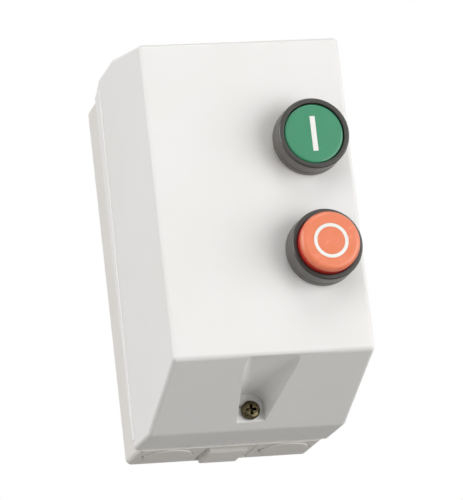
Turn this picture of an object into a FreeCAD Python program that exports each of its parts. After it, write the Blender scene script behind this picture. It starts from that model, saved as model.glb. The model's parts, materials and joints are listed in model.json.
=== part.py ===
import FreeCAD, Part
import math
import os
import re
import Sketcher

# Magnetic motor starter: a wall-mounted plastic enclosure with a hinged cover,
# a green start button and a red stop button, and inside it a contactor on a
# mounting rail with a thermal overload relay hung below it.
#
# Millimetres.  The origin is the middle of the back face, where it meets the
# wall: +X is to the right of someone facing the starter, +Y goes into the
# wall, +Z is up.  Distances in front of the wall are called depths, so a
# depth of 20 is the plane y = -20.

SIZES = {
    # cover: outside
    "cover_width": 85.0,
    "cover_wall": 2.4,
    "panel_room": 16.5,
    "face_drop": 8.5,
    "slant_rise": 19.5,
    "crest_rise": 0.6,
    "crest_length": 25.5,
    "shoulder_rise": 3.9,
    "shoulder_length": 8.0,
    "rim_step_top": 1.0,
    "rim_depth": 27.0,
    "rim_step_bottom": 0.6,
    "lip_length": 26.6,
    "cover_round": 1.8,
    "band_proud": 0.5,
    "band_top_width": 9.0,
    "band_bottom_width": 2.5,
    # base tray
    "cover_overhang": 2.6,
    "base_top": 75.0,
    "base_bottom": -80.5,
    "base_floor": 3.0,
    "base_wall": 2.5,
    "base_round": 4.0,
    "rim_gap": 0.5,
    "tongue_length": 6.5,
    "tongue_wall": 2.0,
    "tongue_clearance": 0.6,
    "tongue_root": 2.5,
    # wall fixing
    "wall_hole_inset": 6.9,
    "wall_hole_below_top": 7.0,
    "wall_hole_above_bottom": 10.5,
    "wall_hole_radius": 2.65,
    # knock-outs in the bottom and top walls, and the pad between them
    "knockout_inset": 14.4,
    "knockout_middle": 14.6,
    "knockout_radius": 9.8,
    "knockout_groove": 0.9,
    "knockout_cut": 1.6,
    "knockout_pilot": 0.7,
    "pad_width": 16.8,
    "pad_length": 24.5,
    "pad_drop": 1.3,
    # cover gasket and the ledge that backs it
    "gasket_width": 3.0,
    "gasket_thick": 2.1,
    "gasket_gap": 0.2,
    "ledge_thick": 1.7,
    # hook noses on the cover's top edge, which are the hinge
    "hinge_inset": 2.4,
    "hinge_rise": 0.6,
    "nose_radius": 1.4,
    "nose_width": 6.0,
    "nose_place": 10.0,
    "nose_neck": 5.4,
    "cradle_clearance": 0.1,
    "cradle_side": 0.6,
    "cradle_wall": 2.4,
    "cradle_lip": 0.5,
    # cover screw and its funnel
    "screw_rise": 7.0,
    "screw_floor_step": 6.4,
    "screw_head_radius": 4.0,
    "screw_head_thick": 2.4,
    "screw_shank": 1.95,
    "screw_tip_inset": 4.2,
    "screw_seal_thick": 0.8,
    "funnel_half_back": 6.0,
    "funnel_half_front": 12.5,
    "funnel_rise_back": 14.3,
    "funnel_rise_front": 19.0,
    "funnel_round_back": 5.4,
    "funnel_round_front": 3.0,
    "column_radius": 4.3,
    "column_gap": 0.3,
    "insert_radius": 2.9,
    "insert_length": 8.0,
    "insert_clearance": 0.12,
    "insert_way_room": 0.5,
    "insert_way_back": 2.0,
    "boss_radius": 4.0,
    # push-buttons
    "button_inset": 18.4,
    "start_rise": 0.5,
    "stop_drop": 7.3,
    "bezel_radius": 15.0,
    "bezel_height": 11.5,
    "bezel_chamfer": 0.8,
    "bezel_step": 0.5,
    "bezel_step_height": 3.2,
    "seal_thick": 0.8,
    "seal_radius": 14.2,
    "neck_radius": 10.95,
    "neck_length": 9.9,
    "neck_bore": 9.0,
    "neck_lip": 1.4,
    "stem_bore": 5.4,
    "hole_clearance": 0.25,
    "nut_radius": 14.0,
    "nut_thick": 4.5,
    "cap_radius": 12.6,
    "cap_clearance": 0.25,
    "cap_back_step": 5.8,
    "cap_recess": 0.6,
    "stop_proud": 5.6,
    "cap_round": 0.7,
    "stop_round": 1.8,
    "press_travel": 4.0,
    "guide_clearance": 0.08,
    "guide_length": 7.0,
    "start_stem": 4.8,
    "stop_stem": 2.8,
    "push_gap": 0.3,
    "mark_thick": 0.4,
    "start_mark_width": 2.2,
    "start_mark_length": 14.7,
    "stop_mark_radius": 7.35,
    "stop_mark_line": 1.6,
    "button_spring_radius": 6.9,
    "button_spring_wire": 0.8,
    "button_spring_turns": 3.0,
    # mounting rail
    "rail_drop": 47.0,
    "rail_gap_left": 3.9,
    "rail_gap_right": 3.1,
    "rail_half": 17.5,
    "rail_channel": 12.5,
    "rail_deep": 7.5,
    "rail_thick": 1.0,
    "rail_screw_inset_left": 6.0,
    "rail_screw_inset_right": 3.6,
    "rail_screw_radius": 3.0,
    "rail_screw_head": 1.8,
    # contactor
    "unit_offset": 16.1,
    "unit_half": 22.5,
    "unit_half_height": 37.0,
    "hook_length": 4.2,
    "hook_gap": 0.3,
    "hook_reach": 4.0,
    "clip_half": 8.0,
    "clip_gap": 0.3,
    "clip_guide": 3.7,
    "clip_guide_length": 12.0,
    "clip_tail": 18.0,
    "clip_eye_low": 16.0,
    "clip_eye_high": 13.0,
    "hook_thick": 5.0,
    "hook_side": 4.0,
    "unit_ledge": 3.0,
    "unit_step": 6.0,
    "unit_step_depth": 24.0,
    "coil_barrier": 1.2,
    "coil_barrier_front": 4.0,
    "thread_length": 7.0,
    "tab_slot": 4.2,
    "split_inset": 8.5,
    "armature_room": 1.4,
    "deck_thick": 2.5,
    "channel_deep": 8.0,
    "front_height": 10.0,
    "front_half_height": 19.5,
    "unit_wall": 2.2,
    "magnet_half": 24.5,
    # magnet and coil
    "core_seat": 0.2,
    "core_yoke": 6.0,
    "core_half_x": 6.0,
    "core_half_z": 22.0,
    "leg_outer": 6.0,
    "leg_centre": 5.5,
    "core_leg": 14.8,
    "armature_gap": 4.6,
    "armature_leg": 9.7,
    "armature_yoke": 5.8,
    "bobbin_clearance": 0.4,
    "bobbin_wall": 1.2,
    "bobbin_flange": 1.5,
    "bobbin_half": 15.4,
    "winding_half": 14.2,
    "winding_round": 3.0,
    "coil_ledge_width": 7.0,
    "coil_ledge_thick": 12.0,
    "coil_ledge_inset": 9.0,
    "coil_ledge_rise_low": 10.6,
    "coil_ledge_rise_high": 27.0,
    "coil_tab_out": 3.5,
    "coil_tab_half": 2.8,
    "coil_tab_rise_lower": 15.0,
    "coil_tab_rise_upper": 22.6,
    "coil_lead": 0.4,
    "return_spring_radius": 10.2,
    "return_spring_wire": 0.9,
    "return_spring_turns": 4.0,
    # contacts
    "pole_pitch": 10.2,
    "channel_side": 1.1,
    "shaft_side": 8.0,
    "front_skin": 1.6,
    "flag_offset": 8.0,
    "flag_room": 0.8,
    "strip_half": 3.0,
    "strip_thick": 1.2,
    "strip_inner": 5.2,
    "strip_outer": 33.5,
    "tip_radius": 1.8,
    "tip_thick": 1.0,
    "tip_place": 7.4,
    "contact_gap": 2.7,
    "bridge_half": 9.6,
    "bridge_half_x": 2.8,
    "bridge_thick": 1.2,
    "bridge_tip": 0.6,
    "carrier_half": 3.8,
    "carrier_side": 0.7,
    "carrier_crown": 2.6,
    "window_half": 3.3,
    "bridge_spring_room": 4.7,
    "indicator_half": 3.0,
    "flag_height": 3.4,
    "bridge_spring_radius": 1.8,
    "bridge_spring_wire": 0.5,
    "bridge_spring_turns": 4.0,
    # terminal screws and clamp plates
    "clamp_place": 28.5,
    "clamp_half": 3.1,
    "clamp_thick": 1.1,
    "lead_room": 2.2,
    "lead_offset": 2.7,
    "terminal_screw_head": 2.9,
    "terminal_screw_height": 2.2,
    "terminal_screw_shank": 1.6,
    "terminal_screw_length": 8.0,
    "slot_width": 0.8,
    "slot_cut": 0.9,
    # overload relay
    "relay_gap": 2.0,
    "relay_skirt_height": 11.0,
    "relay_depth": 48.0,
    "relay_inset": 8.0,
    "relay_cover_thick": 4.0,
    "relay_wall": 1.8,
    "relay_case_height": 33.0,
    "relay_shelf_inset": 12.0,
    "prong_half": 1.5,
    "prong_thick": 2.0,
    "prong_inset": 30.0,
    "bimetal_half": 2.2,
    "bimetal_thick": 0.8,
    "bimetal_length": 20.0,
    "heater_half": 3.0,
    "heater_wall": 0.8,
    "heater_top_gap": 3.0,
    "heater_end_gap": 5.0,
    "prong_foot": 3.0,
    "prong_foot_thick": 2.0,
    "trip_drop": 23.0,
    "trip_pin": 1.0,
    "trip_pin_step": 8.0,
    "trip_boss": 2.2,
    "trip_bore_room": 2.0,
    "trip_beam_gap": 1.2,
    "trip_beam_thick": 4.8,
    "trip_beam_half": 1.8,
    "trip_beam_left": 3.8,
    "trip_beam_right": 14.0,
    "trip_boss_length": 15.0,
    "dial_offset": 11.0,
    "dial_drop": 14.0,
    "dial_radius": 4.6,
    "dial_flange": 1.0,
    "dial_back": 3.0,
    "dial_slot_deep": 1.4,
    "reset_pitch": 14.7,
    "reset_half": 2.8,
    "relay_stop_radius": 3.0,
    "foot_flange": 1.0,
    "foot_back": 8.0,
    "foot_front": 6.0,
    "reset_proud": 1.5,
    "relay_stop_proud": 3.4,
    "relay_seat_inset": 16.0,
    "relay_seat_thick": 2.0,
    "output_step": 12.0,
    "output_clamp_rise": 5.0,
    "output_bar_rise": 1.0,
    "output_bar_top": 3.0,
    "relay_arm_side": 6.0,
    "relay_arm_inset": 4.0,
    "relay_seat_half": 6.1,
    "relay_spring_radius": 2.6,
    "relay_spring_wire": 0.6,
    "relay_spring_turns": 4.0,
    "flap_inset_left": 2.0,
    "flap_reach": 3.0,
    "flap_drop": 6.5,
    "flap_height": 18.5,
    "flap_thick": 1.0,
    "flap_pin": 0.8,
    "flap_pin_inset": 1.0,
    "flap_pin_proud": 1.8,
    "flap_step": 0.6,
    "flap_axis_step": 1.1,
    "lug_gap": 0.2,
    "lug_thick": 1.8,
    "lug_before": 0.4,
    "lug_after": 2.4,
    "lug_proud": 2.2,
    "lug_sunk": 0.5,
    # start contact block on the front of the contactor
    "block_half": 11.0,
    "block_half_height": 14.5,
    "block_depth": 16.0,
    "block_wall": 1.4,
    "block_plunger": 3.4,
    "block_plunger_proud": 4.0,
    "block_strip_step": 2.8,
    "block_well_half": 4.2,
    "block_room_half": 6.8,
    "block_screw_place": 11.1,
    "block_screw_well": 3.3,
    "block_strip_near": 2.6,
    "block_strip_end": 0.2,
    "block_bridge_half": 5.5,
    "block_bridge_side": 0.4,
    "block_spring_radius": 1.7,
    "block_spring_wire": 0.6,
    "block_spring_turns": 3.0,
    # earth terminal
    "earth_inset": 13.9,
    "earth_rise": 22.5,
    "earth_post": 4.0,
    "earth_plate_half": 5.5,
    "earth_plate_thick": 1.5,
    "earth_screw_head": 3.4,
    # control wires
    "wire_radius": 1.0,
    "wire_below_top": 6.0,
    "wire_below_relay": 5.0,
    "wire_room": 12.5,
    "wire_front": 3.0,
}

# Places that follow from the sizes above, and from each other.
TIED = {
    # the base tray and the rim of the cover that closes on it
    "base_width": "cover_width - 2 * cover_overhang",
    "rim_top": "base_top + rim_step_top",
    "cover_bottom": "base_bottom + rim_step_bottom",
    # the contactor, from the rail outwards
    "unit_back": "base_floor + rail_deep + hook_gap",
    "hook_back": "unit_back - hook_length",
    "core_back": "unit_back + unit_wall + core_seat",
    "core_front": "core_back + core_yoke + core_leg",
    "armature_yoke_back": "core_front + armature_gap + armature_leg",
    "deck_back": "armature_yoke_back + armature_yoke + armature_room",
    "split_depth": "deck_back - split_inset",
    "deck_depth": "deck_back + deck_thick",
    "terminal_front": "deck_depth + channel_deep",
    "front_depth": "terminal_front + front_height",
    "coil_ledge_front": "split_depth - coil_ledge_inset",
    "coil_ledge_back": "coil_ledge_front - coil_ledge_thick",
    "bridge_back": "deck_depth + strip_thick + tip_thick + contact_gap + bridge_tip",
    "window_front": "bridge_back + bridge_thick + bridge_spring_room",
    "carrier_front": "window_front + carrier_crown",
    "indicator_front": "carrier_front + flag_height",
    # the relay, whose front stands behind the contactor's
    "relay_front": "front_depth - relay_inset",
    "relay_cover_front": "relay_front + relay_cover_thick",
    "relay_back": "relay_front - relay_depth",
    "relay_shelf_front": "relay_front - relay_shelf_inset",
    "relay_seat": "relay_front - relay_seat_inset",
    "prong_back": "relay_front - prong_inset",
    "trip_pin_back": "relay_back + trip_pin_step",
    "trip_boss_front": "relay_back + trip_boss_length",
    # the devices across and down, and the start contact on the contactor's front
    "button_x": "cover_width / 2 - button_inset",
    "unit_x": "button_x - unit_offset",
    "rail_z": "base_top - rail_drop",
    "block_back": "front_depth",
    "block_front": "block_back + block_depth",
    "block_plunger_front": "block_front + block_plunger_proud",
    "block_strip_depth": "block_back + block_strip_step",
    "relay_top": "rail_z - unit_half_height - relay_gap",
    "relay_shelf": "relay_top - relay_case_height",
    "relay_bottom": "relay_shelf - relay_skirt_height",
    "relay_stop_front": "relay_cover_front + relay_stop_proud",
    "start_z": "rail_z + start_rise",
    "stop_z": "relay_top - stop_drop",
    # the cover
    "face_depth": "block_front + panel_room",
    "shoulder_top": "rim_top + shoulder_rise",
    "shoulder_depth": "rim_depth + shoulder_length",
    "crest_top": "shoulder_top + crest_rise",
    "crest_depth": "shoulder_depth + crest_length",
    "face_top": "crest_top - face_drop",
    "face_bottom": "cover_bottom + slant_rise",
    "slant_depth": "rim_depth + lip_length",
    "band_top_depth": "rim_depth + band_top_width",
    "band_bottom_depth": "rim_depth + band_bottom_width",
    "hinge_depth": "rim_depth - hinge_inset",
    "hinge_height": "rim_top + hinge_rise",
    "screw_height": "cover_bottom + screw_rise",
    "screw_floor": "slant_depth + screw_floor_step",
    "screw_tip_depth": "rim_depth - screw_tip_inset",
    "funnel_top_back": "cover_bottom + funnel_rise_back",
    "funnel_top_front": "cover_bottom + funnel_rise_front",
    "neck_end_depth": "face_depth - neck_length",
    "cap_back": "face_depth + cap_back_step",
    # the base's holes and the earth terminal
    "wall_hole_upper": "base_top - wall_hole_below_top",
    "wall_hole_lower": "base_bottom + wall_hole_above_bottom",
    "earth_x": "earth_inset - base_width / 2",
    "earth_z": "base_bottom + earth_rise",
    # the rail and its screws
    "rail_left": "rail_gap_left - base_width / 2",
    "rail_right": "base_width / 2 - rail_gap_right",
    "rail_screw_left": "rail_left + rail_screw_inset_left",
    "rail_screw_right": "rail_right - rail_screw_inset_right",
    # the coil terminals beside the contactor
    "coil_ledge_low": "rail_z + coil_ledge_rise_low",
    "coil_ledge_high": "rail_z + coil_ledge_rise_high",
    "coil_tab_x": "unit_x - unit_half - coil_tab_out",
    "coil_tab_lower": "rail_z + coil_tab_rise_lower",
    "coil_tab_upper": "rail_z + coil_tab_rise_upper",
    # the front of the relay
    "trip_z": "relay_top - trip_drop",
    "dial_x": "unit_x - dial_offset",
    "dial_z": "relay_top - dial_drop",
    "reset_z": "stop_z - reset_pitch",
    "relay_seat_left": "button_x - relay_seat_half",
    "flap_left": "unit_x - unit_half + flap_inset_left",
    "flap_right": "unit_x + flap_reach",
    "flap_top": "relay_top - flap_drop",
    "flap_bottom": "flap_top - flap_height",
    # the wires
    "wire_top": "base_top - wire_below_top",
    "wire_bottom": "relay_bottom - wire_below_relay",
    "wire_left": "unit_x - unit_half - wire_room",
}

doc = FreeCAD.newDocument("motor_starter")
sheet = doc.addObject("Spreadsheet::Sheet", "Sizes")
for row, (alias, entry) in enumerate({**SIZES, **TIED}.items(), start=1):
    sheet.set("A%d" % row, alias.replace("_", " "))
    sheet.set("B%d" % row, "=" + entry if alias in TIED else str(entry))
    sheet.setAlias("B%d" % row, alias)
doc.recompute()

# how far out an outline's corners are drawn before their formulas place them
DRAFT_REACH = 10.0
ALIAS = re.compile(r"[a-z][a-z_]*")
NODES = []


# ---------------------------------------------------------------- helpers

def bind(thing, prop, text):
    """Bind a property to a formula written with the sheet's aliases."""
    thing.setExpression(prop, ALIAS.sub(r"Sizes.\g<0>", text))


def place(thing, x="0", depth="0", z="0"):
    """Bind where a piece stands: its x, its distance from the wall, its height."""
    bind(thing, "Placement.Base.x", x)
    bind(thing, "Placement.Base.y", "-(%s)" % depth)
    bind(thing, "Placement.Base.z", z)


def around(centre, half):
    """The two ends of a length that is centred on a formula."""
    return "(%s) - (%s)" % (centre, half), "(%s) + (%s)" % (centre, half)


def block(name, x, depth, z):
    """A box between two formulas on each axis."""
    box = doc.addObject("Part::Box", name)
    bind(box, "Length", "(%s) - (%s)" % (x[1], x[0]))
    bind(box, "Width", "(%s) - (%s)" % (depth[1], depth[0]))
    bind(box, "Height", "(%s) - (%s)" % (z[1], z[0]))
    place(box, x[0], depth[1], z[0])
    return box


def rod(name, radius, depth, x, z):
    """A cylinder that stands out from the wall between two depths."""
    bar = doc.addObject("Part::Cylinder", name)
    bind(bar, "Radius", radius)
    bind(bar, "Height", "(%s) - (%s)" % (depth[1], depth[0]))
    bar.Placement.Rotation = FreeCAD.Rotation(FreeCAD.Vector(1, 0, 0), 90)
    place(bar, x, depth[0], z)
    return bar


def cross_rod(name, radius, x, depth, z):
    """A cylinder that lies along X between two formulas."""
    bar = doc.addObject("Part::Cylinder", name)
    bind(bar, "Radius", radius)
    bind(bar, "Height", "(%s) - (%s)" % (x[1], x[0]))
    bar.Placement.Rotation = FreeCAD.Rotation(FreeCAD.Vector(0, 1, 0), 90)
    place(bar, x[0], depth, z)
    return bar


def upright_rod(name, radius, z, x, depth):
    """A cylinder that stands along Z between two formulas."""
    bar = doc.addObject("Part::Cylinder", name)
    bind(bar, "Radius", radius)
    bind(bar, "Height", "(%s) - (%s)" % (z[1], z[0]))
    place(bar, x, depth, z[0])
    return bar


def join(name, *pieces):
    """One solid from pieces that meet."""
    whole = doc.addObject("Part::MultiFuse", name)
    whole.Shapes = list(pieces)
    return whole


def group(name, *pieces):
    """Separate solids that are handled as one sub-part."""
    bunch = doc.addObject("Part::Compound", name)
    bunch.Links = list(pieces)
    return bunch


def cut(name, base, *tools):
    """A piece with one or more shapes taken out of it."""
    rest = doc.addObject("Part::Cut", name)
    rest.Base = base
    rest.Tool = tools[0] if len(tools) == 1 else join(name + "_tools", *tools)
    return rest


def node(label, piece):
    """Name a finished sub-part; its file takes the same name."""
    piece.Label = label
    NODES.append(piece)
    return piece


def new_body(name):
    return doc.addObject("PartDesign::Body", name)


def new_sketch(body, name, role, offset="0"):
    """A sketch on one of the body's own origin planes, moved along its normal."""
    sketch = body.newObject("Sketcher::SketchObject", name)
    plane = [f for f in body.Origin.OriginFeatures if f.Role == role][0]
    sketch.AttachmentSupport = [(plane, "")]
    sketch.MapMode = "FlatFace"
    bind(sketch, "AttachmentOffset.Base.z", offset)
    return sketch


def polygon(sketch, points):
    """A closed outline whose corners are bound to pairs of formulas."""
    count = len(points)
    for i in range(count):
        turn = FreeCAD.Rotation(FreeCAD.Vector(0, 0, 1), 360.0 * i / count)
        step = FreeCAD.Rotation(FreeCAD.Vector(0, 0, 1), 360.0 * (i + 1) / count)
        reach = FreeCAD.Vector(DRAFT_REACH, 0, 0)
        sketch.addGeometry(Part.LineSegment(turn.multVec(reach), step.multVec(reach)))
    for i in range(count):
        sketch.addConstraint(Sketcher.Constraint("Coincident", i, 2, (i + 1) % count, 1))
    for i, corner in enumerate(points):
        for kind, axis, text in (("DistanceX", -2, corner[0]), ("DistanceY", -1, corner[1])):
            if text == "0":
                sketch.addConstraint(Sketcher.Constraint("PointOnObject", i, 1, axis))
                continue
            index = sketch.addConstraint(Sketcher.Constraint(kind, -1, 1, i, 1, 1.0))
            bind(sketch, "Constraints[%d]" % index, text)
    return sketch


def rectangle(sketch, x, z):
    return polygon(sketch, [(x[0], z[0]), (x[1], z[0]), (x[1], z[1]), (x[0], z[1])])


def pad(body, name, sketch, length, both_ways=False, backwards=False):
    feature = body.newObject("PartDesign::Pad", name)
    feature.Profile = sketch
    feature.Midplane = both_ways
    feature.Reversed = backwards
    bind(feature, "Length", length)
    return feature


def pocket(body, name, sketch, length):
    feature = body.newObject("PartDesign::Pocket", name)
    feature.Profile = sketch
    bind(feature, "Length", length)
    return feature


def round_edges(body, name, radius, wanted):
    """Round the body's edges that a test on their bounding box picks out."""
    doc.recompute()
    tip = body.Tip
    picked = [i for i, e in enumerate(tip.Shape.Edges, start=1) if wanted(e.BoundBox)]
    feature = body.newObject("PartDesign::Fillet", name)
    feature.Base = (tip, ["Edge%d" % i for i in picked])
    bind(feature, "Radius", radius)
    return feature


def turned(name, x, z, outline):
    """A turned piece whose axis stands out from the wall.

    The outline is a list of (radius, depth) corners.
    """
    body = new_body(name)
    sketch = new_sketch(body, name + "_outline", "XY_Plane")
    polygon(sketch, [(radius, "-(%s)" % depth) for radius, depth in outline])
    feature = body.newObject("PartDesign::Revolution", name + "_turned")
    feature.Profile = sketch
    feature.ReferenceAxis = (sketch, ["V_Axis"])
    feature.Angle = 360
    place(body, x, "0", z)
    return body


def flat_circle(box, tolerance=0.01):
    """True for an edge that lies in one plane square to Y."""
    return box.YLength < tolerance


def split_circle(name, radius, offset):
    """The round section of a spring's wire as two half circles, which mesh well."""
    section = doc.addObject("Sketcher::SketchObject", name)
    section.Placement.Rotation = FreeCAD.Rotation(FreeCAD.Vector(1, 0, 0), 90)
    whole = Part.Circle(FreeCAD.Vector(DRAFT_REACH, 0, 0), FreeCAD.Vector(0, 0, 1), 1.0)
    for start in (0.0, math.pi):
        section.addGeometry(Part.ArcOfCircle(whole, start, start + math.pi))
    for first, second in (((0, 3), (1, 3)), ((0, 2), (1, 1)), ((1, 2), (0, 1))):
        section.addConstraint(Sketcher.Constraint("Coincident", *first, *second))
    for end in (3, 1, 2):
        section.addConstraint(Sketcher.Constraint("PointOnObject", 0, end, -1))
    index = section.addConstraint(Sketcher.Constraint("DistanceX", -1, 1, 0, 3, DRAFT_REACH))
    bind(section, "Constraints[%d]" % index, offset)
    index = section.addConstraint(Sketcher.Constraint("Radius", 0, 1.0))
    bind(section, "Constraints[%d]" % index, radius)
    return section


def coil_spring(name, radius, wire, turns, depth, x, z):
    """A compression spring with its axis out from the wall."""
    length = "((%s) - (%s) - 2 * (%s))" % (depth[1], depth[0], wire)
    path = doc.addObject("Part::Helix", name + "_path")
    bind(path, "Pitch", "%s / (%s)" % (length, turns))
    bind(path, "Height", length)
    bind(path, "Radius", radius)
    section = split_circle(name + "_section", wire, radius)
    sweep = doc.addObject("Part::Sweep", name)
    sweep.Sections = [section]
    sweep.Spine = (path, [])
    sweep.Solid = True
    sweep.Frenet = True
    sweep.Placement.Rotation = FreeCAD.Rotation(FreeCAD.Vector(1, 0, 0), 90)
    place(sweep, x, "(%s) + (%s)" % (depth[0], wire), z)
    return sweep


def value(text):
    """The number that a formula comes to."""
    return float(sheet.evalExpression(ALIAS.sub(r"Sizes.\g<0>", text)))


def wire(name, radius, points):
    """A round wire along straight runs joined by tangent arcs."""
    spots = [FreeCAD.Vector(value(x), -value(depth), value(z)) for x, depth, z in points]
    trims = [0.0] * len(spots)
    for i in range(1, len(spots) - 1):
        trims[i] = 0.45 * min((spots[i] - spots[i - 1]).Length, (spots[i + 1] - spots[i]).Length)
    edges = []
    for i in range(len(spots) - 1):
        run = spots[i + 1] - spots[i]
        unit = FreeCAD.Vector(run).normalize()
        start = spots[i] + unit * trims[i]
        edges.append(Part.LineSegment(start, spots[i + 1] - unit * trims[i + 1]).toShape())
        if trims[i + 1] > 0:
            edges.append(bend_at(spots[i + 1], unit, spots[i + 2] - spots[i + 1], trims[i + 1]))
    path = Part.Wire(edges)
    thick = value(radius)
    section = Part.Wire([Part.makeCircle(thick, spots[0], spots[1] - spots[0])])
    tube = path.makePipeShell([section], True, True)
    expected = math.pi * thick ** 2 * path.Length
    if abs(tube.Volume - expected) > 0.01 * expected:
        raise RuntimeError("%s has volume %.1f, not %.1f" % (name, tube.Volume, expected))
    feature = doc.addObject("Part::Feature", name)
    feature.Shape = tube
    return feature


def bend_at(corner, unit, after, trim):
    """The arc that rounds a corner, tangent to both runs at the same distance from it."""
    ahead = FreeCAD.Vector(after).normalize()
    half_turn = unit.getAngle(ahead) / 2
    bend = trim / math.tan(half_turn)
    middle = (ahead - unit).normalize()
    inside = math.hypot(bend, trim) - bend
    return Part.Arc(corner - unit * trim, corner + middle * inside, corner + ahead * trim).toShape()


def pan_screw(name, x, z, seat, head_radius, head_height, shank, length, slot=True):
    """A pan-head screw: its head sits at a depth and its shank goes to the wall."""
    crown = "(%s) + (%s)" % (seat, head_height)
    low = "(%s) - (%s)" % (seat, length)
    rim = "(%s) + 0.55 * (%s)" % (seat, head_height)
    body = turned(name + "_blank", x, z, [
        ("0", low),
        (shank, low),
        (shank, seat),
        (head_radius, seat),
        (head_radius, rim),
        ("0.72 * (%s)" % head_radius, crown),
        ("0", crown),
    ])
    if not slot:
        return body
    driver = block(
        name + "_slot",
        around(x, head_radius),
        ("%s - slot_cut" % crown, "%s + 1" % crown),
        around(z, "slot_width / 2"),
    )
    return cut(name, body, driver)


# ---------------------------------------------------------------- places

COVER_HALF = "cover_width / 2"
COVER_INSIDE = "(cover_width / 2 - cover_wall)"
BASE_HALF = "base_width / 2"
TRAY_DEPTH = "(rim_depth - rim_gap)"
TONGUE_FRONT = "(rim_depth - rim_gap + tongue_length)"
TONGUE_HALF = "(cover_width / 2 - cover_wall - tongue_clearance)"
TONGUE_TOP = "(rim_top - cover_wall - tongue_clearance)"
TONGUE_LOW = "(cover_bottom + cover_wall + tongue_clearance)"
PANEL_BACK = "(face_depth - cover_wall)"
GASKET_BACK = "(rim_depth - rim_gap + tongue_length + gasket_gap)"
GASKET_FRONT = "(rim_depth - rim_gap + tongue_length + gasket_gap + gasket_thick)"
BEZEL_BACK = "(face_depth + seal_thick)"
BEZEL_FRONT = "(face_depth + bezel_height)"
START_FACE = "(face_depth + bezel_height - cap_recess)"
STOP_FACE = "(face_depth + bezel_height + stop_proud)"
RAIL_FRONT = "(base_floor + rail_deep)"
UNIT_TOP = "(rail_z + unit_half_height)"
UNIT_LOW = "(rail_z - unit_half_height)"
ARMATURE_BACK = "(core_front + armature_gap)"
ARMATURE_FRONT = "(armature_yoke_back + armature_yoke)"
STRIP_FRONT = "(deck_depth + strip_thick)"
TIP_FRONT = "(deck_depth + strip_thick + tip_thick)"
BRIDGE_TIP_BACK = "(deck_depth + strip_thick + tip_thick + contact_gap)"
BRIDGE_BACK = "bridge_back"
BRIDGE_FRONT = "(bridge_back + bridge_thick)"
POLES = ["unit_x + (%s) * pole_pitch" % step for step in ("-1.5", "-0.5", "0.5", "1.5")]
RELAY_POLES = POLES[:3]
LEAD_POLES = {
    ("line", 0): "lead_room",
    ("line", 3): "lead_room",
    ("load", 0): "prong_thick",
    ("load", 1): "prong_thick",
    ("load", 2): "prong_thick",
    ("load", 3): "lead_room",
}
TRIP_PINS = ["unit_x - pole_pitch", "unit_x"]
COIL_TAB_SPAN = (
    "coil_tab_x - coil_tab_half", "unit_x - unit_half + unit_wall + tab_slot",
)
SIDES = (("left", -1), ("right", 1))


def mirrored(sign, text):
    return "(%s)" % text if sign > 0 else "-(%s)" % text


def side_span(sign, inner, outer):
    """A length on the left or the right of the middle, in rising order."""
    if sign > 0:
        return inner, outer
    return "-(%s)" % outer, "-(%s)" % inner


# ---------------------------------------------------------------- base tray

def base_shell():
    body = new_body("base_shell")
    outline = new_sketch(body, "tray_outline", "XZ_Plane")
    rectangle(outline, around("0", BASE_HALF), ("base_bottom", "base_top"))
    pad(body, "tray_block", outline, TRAY_DEPTH)
    round_edges(body, "tray_corners", "base_round", lambda b: b.YLength > value("base_floor"))
    tongue = new_sketch(body, "tongue_outline", "XZ_Plane", "%s - tongue_root" % TRAY_DEPTH)
    rectangle(tongue, around("0", TONGUE_HALF), (TONGUE_LOW, TONGUE_TOP))
    pad(body, "tongue_block", tongue, "tongue_length + tongue_root")
    mouth = new_sketch(body, "mouth_outline", "XZ_Plane", TONGUE_FRONT)
    rectangle(
        mouth,
        around("0", "%s - tongue_wall" % TONGUE_HALF),
        ("%s + tongue_wall" % TONGUE_LOW, "%s - tongue_wall" % TONGUE_TOP),
    )
    pocket(body, "mouth", mouth, "tongue_length + tongue_root")
    room = new_sketch(body, "room_outline", "XZ_Plane", "%s - tongue_root" % TRAY_DEPTH)
    rectangle(
        room,
        around("0", "%s - base_wall" % BASE_HALF),
        ("base_bottom + base_wall", "base_top - base_wall"),
    )
    pocket(body, "room", room, "%s - tongue_root - base_floor" % TRAY_DEPTH)
    return body


def knockout_tools(end, wall_face, inwards):
    """Ring grooves, with two pilot holes each, that leave a disc to be knocked out."""
    tools = []
    for side, sign in SIDES:
        name = "knockout_%s_%s" % (end, side)
        x = mirrored(sign, "base_width / 2 - knockout_inset")
        deep = "%s %s knockout_cut" % (wall_face, inwards)
        pilot = "%s %s base_wall" % (wall_face, inwards)
        span = (wall_face, deep) if inwards == "+" else (deep, wall_face)
        whole = (wall_face, pilot) if inwards == "+" else (pilot, wall_face)
        ring = upright_rod(name + "_ring", "knockout_radius", span, x, "knockout_middle")
        disc = upright_rod(
            name + "_disc", "knockout_radius - knockout_groove", span, x, "knockout_middle"
        )
        tools.append(cut(name + "_groove", ring, disc))
        for end_side, end_sign in SIDES:
            edge = mirrored(end_sign, "knockout_radius - knockout_groove / 2")
            tools.append(upright_rod(
                "%s_pilot_%s" % (name, end_side), "knockout_pilot", whole,
                "%s + %s" % (x, edge), "knockout_middle",
            ))
    return tools


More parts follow.
